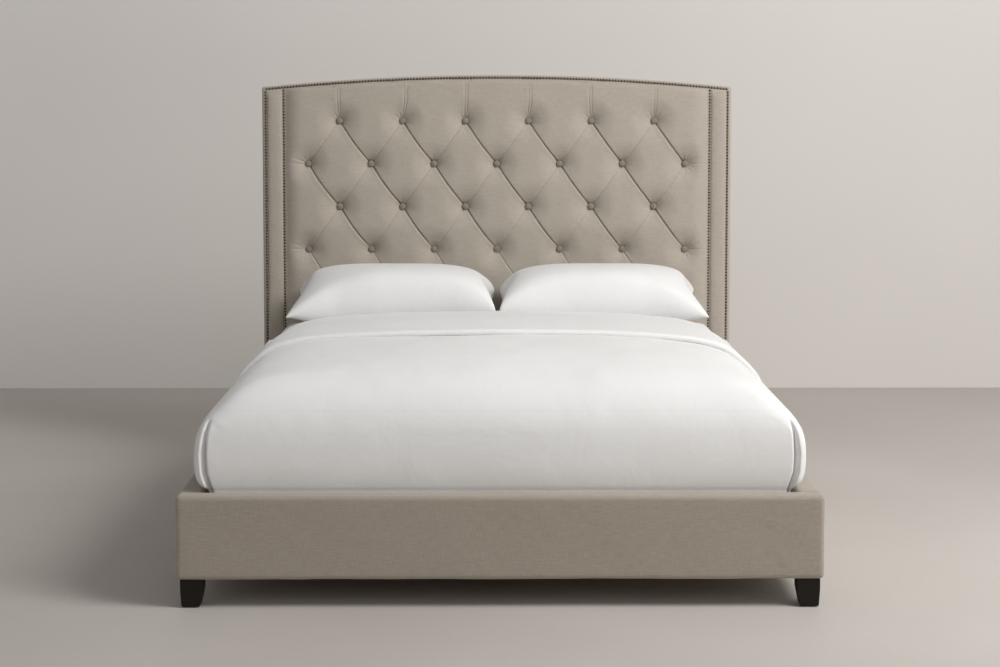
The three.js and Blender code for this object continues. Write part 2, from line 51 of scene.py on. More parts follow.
class Shade:
    """A socket of a material's nodes. Arithmetic on it adds Math nodes."""

    def __init__(self, tree, socket):
        self.tree = tree
        self.socket = socket

    def feed(self, target, value):
        """Links a shade to a socket, or writes a plain value on it."""
        if isinstance(value, Shade):
            self.tree.links.new(value.socket, target)
        else:
            target.default_value = value

    def node(self, kind, settings=None, inputs=None, output=0):
        """Adds any node: its settings first, then the values or links of its sockets."""
        made = self.tree.nodes.new(kind)
        for name, value in (settings or {}).items():
            if name == "stops":
                ramp = made.color_ramp.elements
                while len(ramp) < len(value):
                    ramp.new(0.5)
                for stop, (place, colour) in zip(ramp, value):
                    stop.position = place
                    stop.color = colour
            else:
                setattr(made, name, value)
        for name, value in (inputs or {}).items():
            self.feed(made.inputs[name], value)
        return Shade(self.tree, made.outputs[output])

    def sum(self, operation, *values):
        return self.node("ShaderNodeMath", {"operation": operation}, dict(enumerate(values)))

    def __add__(self, other):
        return self.sum("ADD", self, other)

    def __radd__(self, other):
        return self.sum("ADD", other, self)

    def __sub__(self, other):
        return self.sum("SUBTRACT", self, other)

    def __rsub__(self, other):
        return self.sum("SUBTRACT", other, self)

    def __mul__(self, other):
        return self.sum("MULTIPLY", self, other)

    def __rmul__(self, other):
        return self.sum("MULTIPLY", other, self)

    def __pow__(self, other):
        return self.sum("POWER", self, other)

    def __abs__(self):
        return self.sum("ABSOLUTE", self)

    def sine(self):
        return self.sum("SINE", self)

    def step(self, low, high):
        """0 below low and 1 above high, with a smooth rise between them."""
        return self.node(
            "ShaderNodeMapRange",
            {"interpolation_type": "SMOOTHSTEP"},
            {"Value": self, "From Min": low, "From Max": high},
        )

    def between(self, low, high):
        """low where this shade is 0 and high where it is 1, for numbers."""
        return self.node("ShaderNodeMix", {"data_type": "FLOAT"}, {0: self, 2: low, 3: high})

    def blend(self, low, high):
        """The colour low where this shade is 0, and the colour high where it is 1."""
        return self.node("ShaderNodeMix", {"data_type": "RGBA"}, {0: self, 6: low, 7: high}, 2)

    def xyz(self):
        """The three numbers of a vector."""
        parts = self.node("ShaderNodeSeparateXYZ", inputs={0: self}).socket.node
        return [Shade(self.tree, parts.outputs[axis]) for axis in range(3)]

    def stretched(self, x, y, z):
        """The vector multiplied by a factor along each axis."""
        return self.node(
            "ShaderNodeVectorMath", {"operation": "MULTIPLY"}, {0: self, 1: (x, y, z)}
        )

    def clouds(self, scale, detail=2.0, roughness=0.5, distortion=0.0):
        """Soft noise from 0 to 1 at this place, with about scale blotches to the metre."""
        sizes = {"Scale": scale, "Detail": detail, "Roughness": roughness}
        return self.node(
            "ShaderNodeTexNoise", inputs={"Vector": self, "Distortion": distortion, **sizes}
        )

    def bump(self, distance, strength=1.0):
        """A normal for a surface that this shade raises by up to distance, in metres."""
        return self.node(
            "ShaderNodeBump",
            inputs={"Height": self, "Distance": distance, "Strength": strength},
        )


def colour(red, green, blue):
    return (red, green, blue, 1.0)


class Finish:
    """A material with one Principled shader. Constants go straight on its sockets."""

    def __init__(self, name, **constants):
        self.material = bpy.data.materials.new(name)
        self.material.use_nodes = True
        tree = self.material.node_tree
        self.shader = tree.nodes["Principled BSDF"]
        for socket, value in constants.items():
            self.shader.inputs[socket.replace("_", " ")].default_value = value
        coordinates = tree.nodes.new("ShaderNodeTexCoord")
        self.place = Shade(tree, coordinates.outputs["Object"])
        self.normal = Shade(tree, coordinates.outputs["Normal"])

    def set(self, socket, value):
        self.place.feed(self.shader.inputs[socket], value)


def add_mesh(name, points, faces, finish, crease_angle=None):
    """A smooth-shaded piece, sharp only along edges that bend more than crease_angle degrees."""
    mesh = bpy.data.meshes.new(name)
    mesh.from_pydata([tuple(p) for p in np.asarray(points, float)], [], [tuple(f) for f in faces])
    mesh.polygons.foreach_set("use_smooth", [True] * len(mesh.polygons))
    if crease_angle is not None:
        mesh.set_sharp_from_angle(angle=math.radians(crease_angle))
    mesh.materials.append(finish.material)
    mesh.update()
    piece = bpy.data.objects.new(name, mesh)
    bpy.context.scene.collection.objects.link(piece)
    return piece


def mesh_points(mesh):
    """The places of a mesh's points, one row for each."""
    flat = np.zeros(len(mesh.vertices) * 3)
    mesh.vertices.foreach_get("co", flat)
    return flat.reshape(-1, 3)


def grid_faces(rows, columns, wrap=False):
    """Quads of a grid of points, rows by columns. wrap joins the last column to the first."""
    index = np.arange(rows * columns).reshape(rows, columns)
    if wrap:
        index = np.concatenate([index, index[:, :1]], axis=1)
    corners = [index[:-1, :-1], index[:-1, 1:], index[1:, 1:], index[1:, :-1]]
    return np.stack([c.ravel() for c in corners], axis=1)


WALL_Y = 2.84
STUDIO_REACH = 9.0
WALL_HEIGHT = 6.0

floor_finish = Finish("studio_floor", Roughness=0.55, Specular_IOR_Level=0.3)
drift = floor_finish.place.clouds(0.9, detail=3.0)
grain = floor_finish.place.clouds(60.0, detail=3.0)
floor_tone = (drift * 0.75 + grain * 0.25).step(0.25, 0.75)
floor_dark, floor_light = colour(0.53, 0.493, 0.455), colour(0.59, 0.553, 0.515)
floor_finish.set("Base Color", floor_tone.blend(floor_dark, floor_light))
floor_finish.set("Roughness", drift.between(0.5, 0.62))

wall_finish = Finish("studio_wall", Roughness=0.9)
wall_drift = wall_finish.place.clouds(1.2)
wall_finish.set("Base Color", wall_drift.blend(colour(0.78, 0.75, 0.72), colour(0.82, 0.79, 0.76)))
wall_tree = wall_finish.material.node_tree
seen_from_behind = wall_finish.place.node("ShaderNodeNewGeometry", output="Backfacing")
see_through = wall_finish.place.node("ShaderNodeBsdfTransparent")
wall_surface = wall_finish.place.node(
    "ShaderNodeMixShader",
    inputs={
        0: seen_from_behind,
        1: Shade(wall_tree, wall_finish.shader.outputs[0]),
        2: see_through,
    },
)
wall_tree.links.new(wall_surface.socket, wall_tree.nodes["Material Output"].inputs["Surface"])

reach = STUDIO_REACH
floor_corners = [(-reach, -reach, 0), (reach, -reach, 0), (reach, reach, 0), (-reach, reach, 0)]
wall_low, wall_high = (-reach, WALL_Y, 0), (reach, WALL_Y, WALL_HEIGHT)
wall_corners = [wall_low, (reach, WALL_Y, 0), wall_high, (-reach, WALL_Y, WALL_HEIGHT)]
floor = add_mesh("studio_floor", floor_corners, [(0, 1, 2, 3)], floor_finish)
wall = add_mesh("studio_wall", wall_corners, [(0, 1, 2, 3)], wall_finish)


def aimed(thing, place, target):
    thing.location = place
    direction = Vector(target) - Vector(place)
    thing.rotation_euler = direction.to_track_quat("-Z", "Y").to_euler()


def soft_light(name, place, target, size, watts, tint):
    lamp = bpy.data.lights.new(name, "AREA")
    lamp.shape = "DISK"
    lamp.size = size
    lamp.energy = watts
    lamp.color = tint
    fixture = bpy.data.objects.new(name, lamp)
    bpy.context.scene.collection.objects.link(fixture)
    aimed(fixture, place, target)


soft_light("key_light", (3.1, -2.2, 3.9), (0.0, 0.3, 0.5), 2.4, 194.0, (1.0, 0.99, 0.975))

world = bpy.data.worlds.new("studio_air")
bpy.context.scene.world = world
world.use_nodes = True
air = world.node_tree
sky = air.nodes.new("ShaderNodeTexCoord")
to_right, _, height = Shade(air, sky.outputs["Generated"]).xyz()
sky_tone = height.step(0.05, 0.90).blend(colour(1.16, 1.14, 1.125), colour(0.08, 0.08, 0.085))
air.links.new(sky_tone.socket, air.nodes["Background"].inputs["Color"])
above_floor = abs(height - 0.05).step(0.02, 0.22)
sky_strength = to_right.step(-1.0, 1.0).between(0.72, 1.22) * above_floor
air.links.new(sky_strength.socket, air.nodes["Background"].inputs["Strength"])
bpy.context.scene.view_settings.view_transform = "Standard"

camera_data = bpy.data.cameras.new("camera")
camera_data.lens = 74.2
camera_data.sensor_width = 36.0
camera_data.shift_y = -0.08
camera = bpy.data.objects.new("camera", camera_data)
bpy.context.scene.collection.objects.link(camera)
CAMERA_PITCH = math.radians(4.42)
camera.location = (-0.031, -6.273, 1.305)
camera.rotation_euler = (math.radians(90) - CAMERA_PITCH, 0.0, math.radians(-0.333))
bpy.context.scene.camera = camera

# ---- Timber frame -------------------------------------------------------------------------
# Planed softwood: headboard posts and rails, the beam that the side rails bolt to, the boards
# inside the rails, ledges, centre beam and slats. The backer board is plywood. Edges are eased.


def timber(name, along, light, dark):
    """Planed timber whose grain runs along axis 0, 1 or 2."""
    finish = Finish(name, Roughness=0.6, Specular_IOR_Level=0.35)
    stretch = [9.0, 9.0, 9.0]
    stretch[along] = 0.7
    fibre = [260.0, 260.0, 260.0]
    fibre[along] = 6.0
    rings = finish.place.stretched(*stretch).clouds(2.2, detail=3.0, distortion=1.6)
    bands = (rings * 42.0).sine() * 0.5 + 0.5
    fibres = finish.place.stretched(*fibre).clouds(1.0, detail=2.0)
    tone = (bands * 0.5 + fibres * 0.5).step(0.15, 0.85)
    finish.set("Base Color", tone.blend(light, dark))
    finish.set("Roughness", fibres.between(0.5, 0.72))
    finish.set("Normal", (fibres * 0.7 + bands * 0.3).bump(0.0004, 0.6))
    return finish


pine_light, pine_dark = colour(0.66, 0.46, 0.26), colour(0.50, 0.31, 0.15)
timber_across = timber("timber_across", 0, pine_light, pine_dark)
timber_lengthwise = timber("timber_lengthwise", 1, pine_light, pine_dark)
timber_upright = timber("timber_upright", 2, pine_light, pine_dark)
plywood = timber("backer_plywood", 2, colour(0.56, 0.38, 0.21), colour(0.44, 0.27, 0.14))


def eased(node, finish, width):
    """A CAD node that keeps its shape: it gets a finish and slightly rounded edges."""
    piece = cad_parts[node]
    piece.data.materials.clear()
    piece.data.materials.append(finish.material)
    edges = piece.modifiers.new("eased_edges", "BEVEL")
    edges.width = width
    edges.segments = 2
    edges.limit_method = "ANGLE"
    return piece


slats = sorted(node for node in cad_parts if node.startswith("slat_") and node[5:].isdigit())
TIMBER_NODES = {
    "headboard_post_left": timber_upright,
    "headboard_post_right": timber_upright,
    "headboard_middle_rail": timber_across,
    "headboard_top_rail": timber_across,
    "headboard_lower_beam": timber_across,
    "foot_rail_board": timber_across,
    "side_rail_board_left": timber_lengthwise,
    "side_rail_board_right": timber_lengthwise,
    "slat_ledge_left": timber_lengthwise,
    "slat_ledge_right": timber_lengthwise,
    "centre_beam": timber_lengthwise,
    **{slat: timber_across for slat in slats},
}
for node, finish in TIMBER_NODES.items():
    eased(node, finish, 0.0025)
eased("headboard_backer_board", plywood, 0.0008)

# ---- Legs and glides ----------------------------------------------------------------------
# Short hardwood legs with a near-black satin lacquer, screwed up under the rail ends and the
# posts; plainer legs under the centre beam. Nylon glides are nailed under the corner legs.

lacquer = Finish("dark_lacquer", Roughness=0.5, Specular_IOR_Level=0.25)
pores = lacquer.place.stretched(240.0, 240.0, 14.0).clouds(1.0, detail=3.0)
rubbed = lacquer.place.clouds(14.0, detail=4.0).step(0.55, 0.8)
near_black, worn_brown = colour(0.0085, 0.0062, 0.0045), colour(0.015, 0.0105, 0.0075)
lacquer.set("Base Color", rubbed.blend(near_black, worn_brown))
lacquer.set("Roughness", (pores * 0.5 + rubbed * 0.5).between(0.42, 0.62))
lacquer.set("Normal", pores.bump(0.0003, 0.5))

corners = [(end, side) for end in ("front", "rear") for side in ("left", "right")]
corner_legs = [f"{end}_leg_{side}" for end, side in corners]
for leg in corner_legs + ["centre_leg_front", "centre_leg_middle", "centre_leg_rear"]:
    eased(leg, lacquer, 0.0018)

nylon = Finish("glide_nylon", Roughness=0.5)
scuffs = nylon.place.clouds(420.0, detail=2.0)
nylon.set("Base Color", scuffs.blend(colour(0.02, 0.02, 0.02), colour(0.06, 0.058, 0.055)))
nylon.set("Roughness", scuffs.between(0.4, 0.65))
for end, side in corners:
    eased(f"glide_{end}_{side}", nylon, 0.0006)

# ---- Corner brackets ----------------------------------------------------------------------
# Zinc-plated steel angle plates in the four inner corners, with hexagon-headed bolts through
# each wing into the boards.

zinc = Finish("zinc_plate", Metallic=1.0, Roughness=0.38)
spangle = zinc.place.clouds(160.0, detail=3.0)
zinc.set("Base Color", spangle.blend(colour(0.42, 0.43, 0.45), colour(0.60, 0.60, 0.60)))
zinc.set("Roughness", spangle.between(0.28, 0.5))

BOLT_RADIUS = 0.0075
BOLT_HEIGHT = 0.005
BRACKET_PLATE = 0.004


def bolt_heads(name, places):
    """Hexagon heads; each place is a point on the plate and the direction the head faces."""
    points, faces = [], []
    for centre, facing in places:
        up = Vector((0, 0, 1))
        out = Vector(facing)
        across = out.cross(up)
        for height, radius in ((0.0, 1.0), (0.8, 1.0), (1.0, 0.86)):
            for corner in range(6):
                angle = corner * math.pi / 3
                spoke = (across * math.cos(angle) + up * math.sin(angle)) * BOLT_RADIUS * radius
                points.append(Vector(centre) + spoke + out * BOLT_HEIGHT * height)
        first = len(points) - 18
        faces += [tuple(first + i for i in f) for f in grid_faces(3, 6, wrap=True)]
        faces.append(tuple(first + 12 + i for i in range(6)))
    piece = add_mesh(name, points, faces, zinc, crease_angle=25)
    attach(piece, "bed_frame")


for end, inward in (("foot", 1), ("head", -1)):
    for side, toward in (("left", 1), ("right", -1)):
        node = f"corner_bracket_{end}_{side}"
        eased(node, zinc, 0.0008)
        low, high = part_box(node)
        wing_x = (low.x if toward > 0 else high.x) + toward * BRACKET_PLATE
        wing_y = (low.y if inward > 0 else high.y) + inward * BRACKET_PLATE
        places = []
        for height in (0.25, 0.75):
            z = low.z + (high.z - low.z) * height
            places.append(((wing_x, (low.y + high.y) / 2 + inward * 0.006, z), (toward, 0, 0)))
            places.append((((low.x + high.x) / 2 + toward * 0.006, wing_y, z), (0, inward, 0)))
        bolt_heads(f"bracket_bolts_{end}_{side}", places)

# ---- Padded rails -------------------------------------------------------------------------
# Foot rail and side rails: boards wrapped in foam and a slubbed linen weave, pulled round the
# edges and stapled on the inner face. The foot rail runs the full width across the side rails.

YARN_PITCH = 0.0011


def linen(name, light, dark):
    """A plain weave of uneven yarns, with thin slubs running both ways, more of them across."""
    finish = Finish(name, Roughness=0.92, Sheen_Weight=0.22, Sheen_Roughness=0.55)
    x, y, z = finish.place.xyz()
    lies_flat = abs(finish.normal.xyz()[2]).step(0.62, 0.82)
    across = lies_flat.between(x + y, x)
    upward = lies_flat.between(z, y)
    threads = 2 * math.pi / YARN_PITCH
    warp = (across * threads).sine() * 0.5 + 0.5
    weft = (upward * threads).sine() * 0.5 + 0.5
    cloth = finish.place.node("ShaderNodeCombineXYZ", inputs={0: across, 1: upward})
    slubs = cloth.stretched(34.0, 620.0, 1.0).clouds(1.0, detail=2.0)
    streaks = cloth.stretched(520.0, 40.0, 1.0).clouds(1.0, detail=2.0)
    broad = cloth.stretched(9.0, 150.0, 1.0).clouds(1.0, detail=2.0)
    yarn = slubs * 0.52 + streaks * 0.36 + broad * 0.12
    tone = yarn.step(0.3, 0.7) * 0.72 + (warp * weft) * 0.28
    finish.set("Base Color", tone.blend(dark, light))
    finish.set("Roughness", yarn.between(0.82, 0.98))
    relief = warp * weft * 0.5 + slubs * 0.35 + streaks * 0.25
    finish.set("Normal", relief.bump(0.0009, 0.5))
    return finish


rail_linen = linen("rail_linen", colour(0.455, 0.40, 0.335), colour(0.32, 0.277, 0.227))


def edge_marks(low, high, radius, step, arc_steps=4):
    """Places along one side of a rounded box: close together on its two rounded ends."""
    turn = np.linspace(math.radians(45), 0, arc_steps + 1)
    into_arc = radius * (1 - np.tan(turn))
    flat = np.linspace(low + radius, high - radius, max(2, round((high - low) / step)))
    return np.concatenate([low + into_arc[:-1], flat, (high - into_arc[:-1])[::-1]])


def rounded_box(low, high, radius, step):
    """Points, outward directions and faces of a box with rounded edges."""
    low, high = np.array(low, float), np.array(high, float)
    marks = [edge_marks(low[a], high[a], radius, step) for a in range(3)]
    points, faces, first = [], [], 0
    for axis in range(3):
        u, v = [a for a in range(3) if a != axis]
        for end, level in enumerate((low[axis], high[axis])):
            flat = np.zeros((len(marks[u]), len(marks[v]), 3))
            flat[..., u] = marks[u][:, None]
            flat[..., v] = marks[v][None, :]
            flat[..., axis] = level
            quads = grid_faces(len(marks[u]), len(marks[v])) + first
            inward_turn = (axis == 1) == bool(end)
            faces.append(quads[:, ::-1] if inward_turn else quads)
            points.append(flat.reshape(-1, 3))
            first += len(points[-1])
    points, faces = np.concatenate(points), np.concatenate(faces)
    core = np.clip(points, low + radius, high - radius)
    out = points - core
    out /= np.linalg.norm(out, axis=1, keepdims=True)
    points = core + out * radius
    _, keep, where = np.unique(np.round(points, 6), axis=0, return_index=True, return_inverse=True)
    return points[keep], out[keep], where.ravel()[faces]


def ripple(points, wavelength, seed):
    """Smooth unevenness from about -1 to 1, the same each time for the same seed."""
    draw = np.random.default_rng(seed)
    total = np.zeros(len(points))
    count = 10
    for _ in range(count):
        direction = draw.normal(size=3)
        direction /= np.linalg.norm(direction)
        waves = 2 * math.pi / (wavelength * draw.uniform(0.7, 1.5))
        total += np.sin(points @ direction * waves + draw.uniform(0, 2 * math.pi))
    return total / math.sqrt(count)


def padded_block(name, low, high, radius, unevenness, seed, finish):
    """A rounded box whose padding is slightly uneven."""
    points, out, faces = rounded_box(low, high, radius, 0.012)
    swell = ripple(points, 0.22, seed) * 0.6 + ripple(points, 0.07, seed + 1) * 0.25
    points = points + out * (swell * unevenness)[:, None]
    return add_mesh(name, points, faces, finish)


PADDING_UNEVENNESS = 0.0009
foot_low, foot_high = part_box("foot_rail_cover")
foot_rail = padded_block("foot_rail", foot_low, foot_high, 0.013, PADDING_UNEVENNESS, 11, rail_linen)
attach(foot_rail, "bed_frame")
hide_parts("foot_rail_cover", "foot_rail_board")

for side in ("left", "right"):
    low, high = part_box(f"side_rail_cover_{side}")
    seed = 20 + len(side)
    rail = padded_block(f"side_rail_{side}", low, high, 0.0125, PADDING_UNEVENNESS, seed, rail_linen)
    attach(rail, "bed_frame")
    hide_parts(f"side_rail_cover_{side}", f"side_rail_board_{side}")

# ---- Headboard cover ----------------------------------------------------------------------
# The same linen over batting, wrapped from under the outer nail rows round the sides and the
# arched top to a flat back panel, which is closed with a welt near its edge. Its colour is a
# lighter copy of the rail linen: the extra lightness is painted light.

ARCH_DROP = 0.042
FACE_INSET = 0.0125  # from the cover's outside to the edge of the pads in front
cover_low, cover_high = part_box("headboard_outer_cover")
half_width = cover_high.x
crown = cover_high.z
face_y = cover_low.y
back_y = cover_high.y
arch_radius = (half_width**2 + ARCH_DROP**2) / (2 * ARCH_DROP)
# A lighter copy of the rail linen; the difference is painted light on the headboard.
headboard_linen_painted_light = linen("headboard_linen_painted_light", colour(0.515, 0.463, 0.397), colour(0.385, 0.342, 0.288))


def arch_z(x, inset=0.0):
    """Height of the headboard's arched top, or of a line inset below it."""
    return crown - arch_radius + np.sqrt((arch_radius - inset) ** 2 - np.asarray(x) ** 2)


def headboard_ring(y, inset, corner=0.004):
    """Outline of one layer of the cover, clockwise from its bottom left corner."""
    x0, x1, z0 = inset - half_width, half_width - inset, cover_low.z + inset
    up = np.linspace(0, 1, 40)
    x = np.linspace(x0 + corner, x1 - corner, 80)
    over = arch_z(x, inset)
    left_side = np.stack([np.full(40, x0), z0 + (over[0] - corner - z0) * up], axis=1)
    right_side = np.stack([np.full(40, x1), z0 + (over[-1] - corner - z0) * up[::-1]], axis=1)
    base = np.stack([np.linspace(x1, x0, 40)[1:-1], np.full(38, z0)], axis=1)
    outline = np.concatenate([left_side, np.stack([x, over], axis=1), right_side, base])
    return np.stack([outline[:, 0], np.full(len(outline), y), outline[:, 1]], axis=1)


COVER_SECTION = [
    (back_y - 0.004, FACE_INSET),
    (face_y + 0.004, FACE_INSET),
    (face_y + 0.0005, 0.0105),
    (face_y + 0.0008, 0.0075),
    (face_y + 0.0025, 0.0035),
    (face_y + 0.0055, 0.0012),
    (face_y + 0.0100, 0.0),
    (face_y + 0.0400, 0.0),
    (face_y + 0.0750, 0.0),
    (back_y - 0.0070, 0.0),
    (back_y - 0.0030, 0.0010),
    (back_y - 0.0008, 0.0030),
    (back_y, 0.0070),
    (back_y, 0.03),
]
rings = [headboard_ring(y, inset) for y, inset in COVER_SECTION]
ring_size = len(rings[0])
cover_points = np.concatenate(rings)
cover_faces = [tuple(f) for f in grid_faces(len(rings), ring_size, wrap=True)]
cover_faces.append(tuple(range(ring_size))[::-1])
cover_faces.append(tuple((len(rings) - 1) * ring_size + i for i in range(ring_size)))
headboard_cover = add_mesh("headboard_cover", cover_points, cover_faces, headboard_linen_painted_light, 50)
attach(headboard_cover, "bed_frame")
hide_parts("headboard_outer_cover")

WELT_RADIUS = 0.0028


def cord_round(name, path, level, radius, finish, sides=8):
    """A covered cord along a closed path that lies in the plane that level stands on."""
    ahead = np.roll(path, -1, axis=0) - np.roll(path, 1, axis=0)
    ahead /= np.linalg.norm(ahead, axis=1, keepdims=True)
    out = np.cross(ahead, level)
    turn = np.linspace(0, 2 * math.pi, sides, endpoint=False)
    up = np.array(level)
    loops = [path + out * radius * math.cos(t) + up * radius * math.sin(t) for t in turn]
    points = np.stack(loops, axis=1).reshape(-1, 3)
    faces = grid_faces(len(path), sides, wrap=True)
    joint = [(len(path) - 1) * sides + k for k in range(sides)]
    closing = [(joint[k], joint[(k + 1) % sides], (k + 1) % sides, k) for k in range(sides)]
    return add_mesh(name, points, [*map(tuple, faces), *closing], finish)


welt_path = headboard_ring(back_y - 0.0006, 0.0145)
back_welt = cord_round("headboard_back_welt", welt_path, (0.0, 1.0, 0.0), WELT_RADIUS, headboard_linen_painted_light)
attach(back_welt, "bed_frame")

# ---- Border pads --------------------------------------------------------------------------
# A narrow padded strip down each side of the headboard, between the outer and the inner nail
# rows. The nails pull its two long edges down, so it stands highest along its middle.

seam_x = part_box("tufted_panel")[1].x
pad_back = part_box("tufted_panel")[1].y
pad_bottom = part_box("tufted_panel")[0].z
NAIL_EDGE = 0.0053
BORDER_RISE = 0.0088
BORDER_ROUND = 0.024


def quarter_round(distance, radius):
    """A rounded shoulder: 0 at no distance, rising to 1 a radius away."""
    return np.sqrt(np.clip(1 - (1 - np.clip(distance / radius, 0, 1)) ** 2, 0, 1))


def border_pad(side, sign):
    low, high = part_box(f"border_pad_{side}")
    rows, columns = 180, 26
    share = np.linspace(0, 1, rows)
    x = np.broadcast_to(np.linspace(low.x, high.x, columns), (rows, columns))
    top = arch_z(x, FACE_INSET)
    z = low.z + (top - low.z) * share[:, None]
    inward = np.minimum(x - low.x, high.x - x)
    crowned = quarter_round(inward - NAIL_EDGE, BORDER_ROUND)
    near_top = np.clip((top - z) / 0.03, 0, 1) ** 0.5
    spots = np.stack([x.ravel(), np.zeros(x.size), z.ravel()], axis=1)
    loose = ripple(spots, 0.11, 41 + sign).reshape(x.shape)
    creases = np.sin(z * 2 * math.pi / 0.019 + 2.2 * loose) * np.clip(loose - 0.5, 0, 1)
    rise = crowned * near_top * (BORDER_RISE + 0.0007 * loose) + 0.0007 * creases * crowned
    y = face_y + 0.0005 - rise
    front = np.stack([x, y, z], axis=2).reshape(-1, 3)
    faces = [tuple(f) for f in grid_faces(rows, columns)]
    index = np.arange(rows * columns).reshape(rows, columns)
    rim = [*index[0, :-1], *index[:-1, -1], *index[-1, :0:-1], *index[:0:-1, 0]]
    back = front[rim] * (1, 0, 1) + (0, pad_back, 0)
    first = len(front)
    for k in range(len(rim)):
        k2 = (k + 1) % len(rim)
        faces.append((rim[k], first + k, first + k2, rim[k2]))
    faces.append(tuple(first + k for k in range(len(rim)))[::-1])
    pad = add_mesh(f"border_strip_{side}", np.concatenate([front, back]), faces, headboard_linen_painted_light, 50)
    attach(pad, "bed_frame")
    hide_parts(f"border_pad_{side}")


border_pad("left", -1)
border_pad("right", 1)

# ---- Tufted panel -------------------------------------------------------------------------
# Thick foam under linen, buttoned through to the backer board on a diamond lattice. The fabric
# folds along every line between two buttons: a deep fold one way, a slight one the other way.
# Above the top row the folds run straight up to the edge in pairs, one pair at each button.

BUTTON_HALF_PITCH = 0.11075
ROW_PITCH = 0.1512
TOP_ROW_Z = 1.212
ROW_COUNT = 5
buttons = [
    (a * BUTTON_HALF_PITCH, TOP_ROW_Z - row * ROW_PITCH)
    for row in range(ROW_COUNT)
    for a in (range(-5, 6, 2) if row % 2 == 0 else range(-6, 7, 2))
]


def bell(distance, width):
    """1 at no distance, falling off to nearly 0 at twice the width."""
    return np.exp(-((distance / width) ** 2))


def smooth(value):
    """0 up to 0 and 1 from 1 on, with a smooth rise between them."""
    value = np.clip(value, 0, 1)
    return value * value * (3 - 2 * value)


TUFT_RISE = 0.0225
SIDE_ROUND = 0.060
TOP_ROUND = 0.016
BOTTOM_ROUND = 0.03
CONE_DEPTH, CONE_REACH = 0.0345, 0.084
SEAT_DEPTH, SEAT_REACH = 0.0075, 0.020
GATHER_DEPTH = 0.0013
FOLD_DEPTH, FOLD_WIDTH = 0.0100, 0.0021
VALLEY_DEPTH, VALLEY_WIDTH = 0.0034, 0.016
SLIGHT_DEPTH, SLIGHT_WIDTH = 0.0022, 0.0020
PLEAT_DEPTH, PLEAT_WIDTH = 0.0030, 0.0016
PULL_DEPTH, PULL_WIDTH = 0.0030, 0.0022
PLEAT_LEAN = {-5: -0.002, -3: 0.012, -1: 0.003, 1: 0.006, 3: -0.004, 5: 0.003}
PULL_LINES = [(0.02, 1.0), (0.42, 0.7), (0.62, 0.35), (-0.5, 0.3)]  # slope, strength


def pleats_above(x, z):
    """Depth of the pair of upright pleats that run from each top button to the arched edge."""
    above = (z - TOP_ROW_Z) / ROW_PITCH
    depth = np.zeros_like(x)
    for place, lean in PLEAT_LEAN.items():
        off = x - place * BUTTON_HALF_PITCH - lean * smooth(above / 0.5)
        apart = 0.0030 + 0.0012 * smooth(above / 0.4)
        depth += bell(off - apart, PLEAT_WIDTH) + bell(off + apart, PLEAT_WIDTH)
    return PLEAT_DEPTH * depth * smooth((above - 0.1) / 0.15)


def pulls_outward(x, z):
    """Depth of the short creases from the outermost buttons to the border."""
    outward = np.abs(x) - 6 * BUTTON_HALF_PITCH
    depth = np.zeros_like(x)
    for row in range(1, ROW_COUNT, 2):
        up = z - (TOP_ROW_Z - row * ROW_PITCH)
        for slope, strength in PULL_LINES:
            started = smooth((outward - 0.008) / 0.014)
            ended = smooth((0.075 * strength + 0.02 - outward) / 0.04)
            depth += strength * (started * ended) * bell(up - slope * outward, PULL_WIDTH)
    return PULL_DEPTH * depth


def tuft_height(x, z):
    """How far the buttoned fabric stands in front of the border's face."""
    a = x / BUTTON_HALF_PITCH
    b = (z - TOP_ROW_Z) / ROW_PITCH
    last = -(ROW_COUNT - 1)

    # Within the lattice, p counts the deep folds and q the slight ones. They bow a little.
    p = (a + b - 1) / 2
    q = (a - b - 1) / 2
    per_metre = 0.5 * math.hypot(1 / BUTTON_HALF_PITCH, 1 / ROW_PITCH)
    along_deep = np.abs(np.sin(math.pi * q))
    to_deep = (p - np.round(p)) / per_metre + 0.0035 * along_deep
    to_slight = (q - np.round(q)) / per_metre
    inside = smooth((6.02 - np.abs(a)) / 0.06) * smooth(-b / 0.05) * smooth((b - last) / 0.05)
    lower = smooth((b + 3.0) / 0.35)
    deep = VALLEY_DEPTH * np.exp(-np.abs(to_deep) / VALLEY_WIDTH)
    deep = deep + FOLD_DEPTH * bell(to_deep, FOLD_WIDTH)
    deep = deep - 0.0014 * bell(to_deep + 0.0075, 0.0045)
    slight = 0.0014 * np.exp(-np.abs(to_slight) / 0.012)
    slight = slight + SLIGHT_DEPTH * bell(to_slight, SLIGHT_WIDTH)
    folds = inside * (deep * (0.3 + 0.7 * lower) + slight * (0.15 + 0.85 * lower))

    # Each button pulls the fabric into a dimple, wide and shallow with a steep middle.
    dimple = np.zeros_like(x)
    for button_x, button_z in buttons:
        reach = np.hypot(x - button_x, z - button_z)
        near = reach < 0.2
        around = np.arctan2(z[near] - button_z, x[near] - button_x)
        gather = np.cos(11 * around + 40 * button_x + 9 * button_z)
        uneven = 0.6 + 0.4 * np.sin(2 * around + button_x * 7)
        gather = gather * bell(reach[near] - 0.021, 0.010) * uneven
        cone = np.clip(1 - reach[near] / CONE_REACH, 0, 1) ** 1.7
        seat = bell(reach[near], SEAT_REACH)
        dimple[near] += CONE_DEPTH * cone + SEAT_DEPTH * seat + GATHER_DEPTH * gather
    spots = np.stack([x, np.zeros_like(x), z], axis=-1).reshape(-1, 3)
    plump = 0.0011 * ripple(spots, 0.28, 7).reshape(x.shape)
    wander = 0.0003 * ripple(spots, 0.06, 8).reshape(x.shape)

    to_seam = np.clip((seam_x - np.abs(x) - NAIL_EDGE) / SIDE_ROUND, 0, 1)
    edge = 1 - (1 - to_seam) ** 2.2
    edge = edge * quarter_round(arch_z(x, FACE_INSET) - z, TOP_ROUND)
    edge = edge * quarter_round(z - pad_bottom, BOTTOM_ROUND)
    creases = folds + pleats_above(x, z) + pulls_outward(x, z)
    return edge * (TUFT_RISE + plump + wander - dimple - creases)


CELL_STEPS = 34


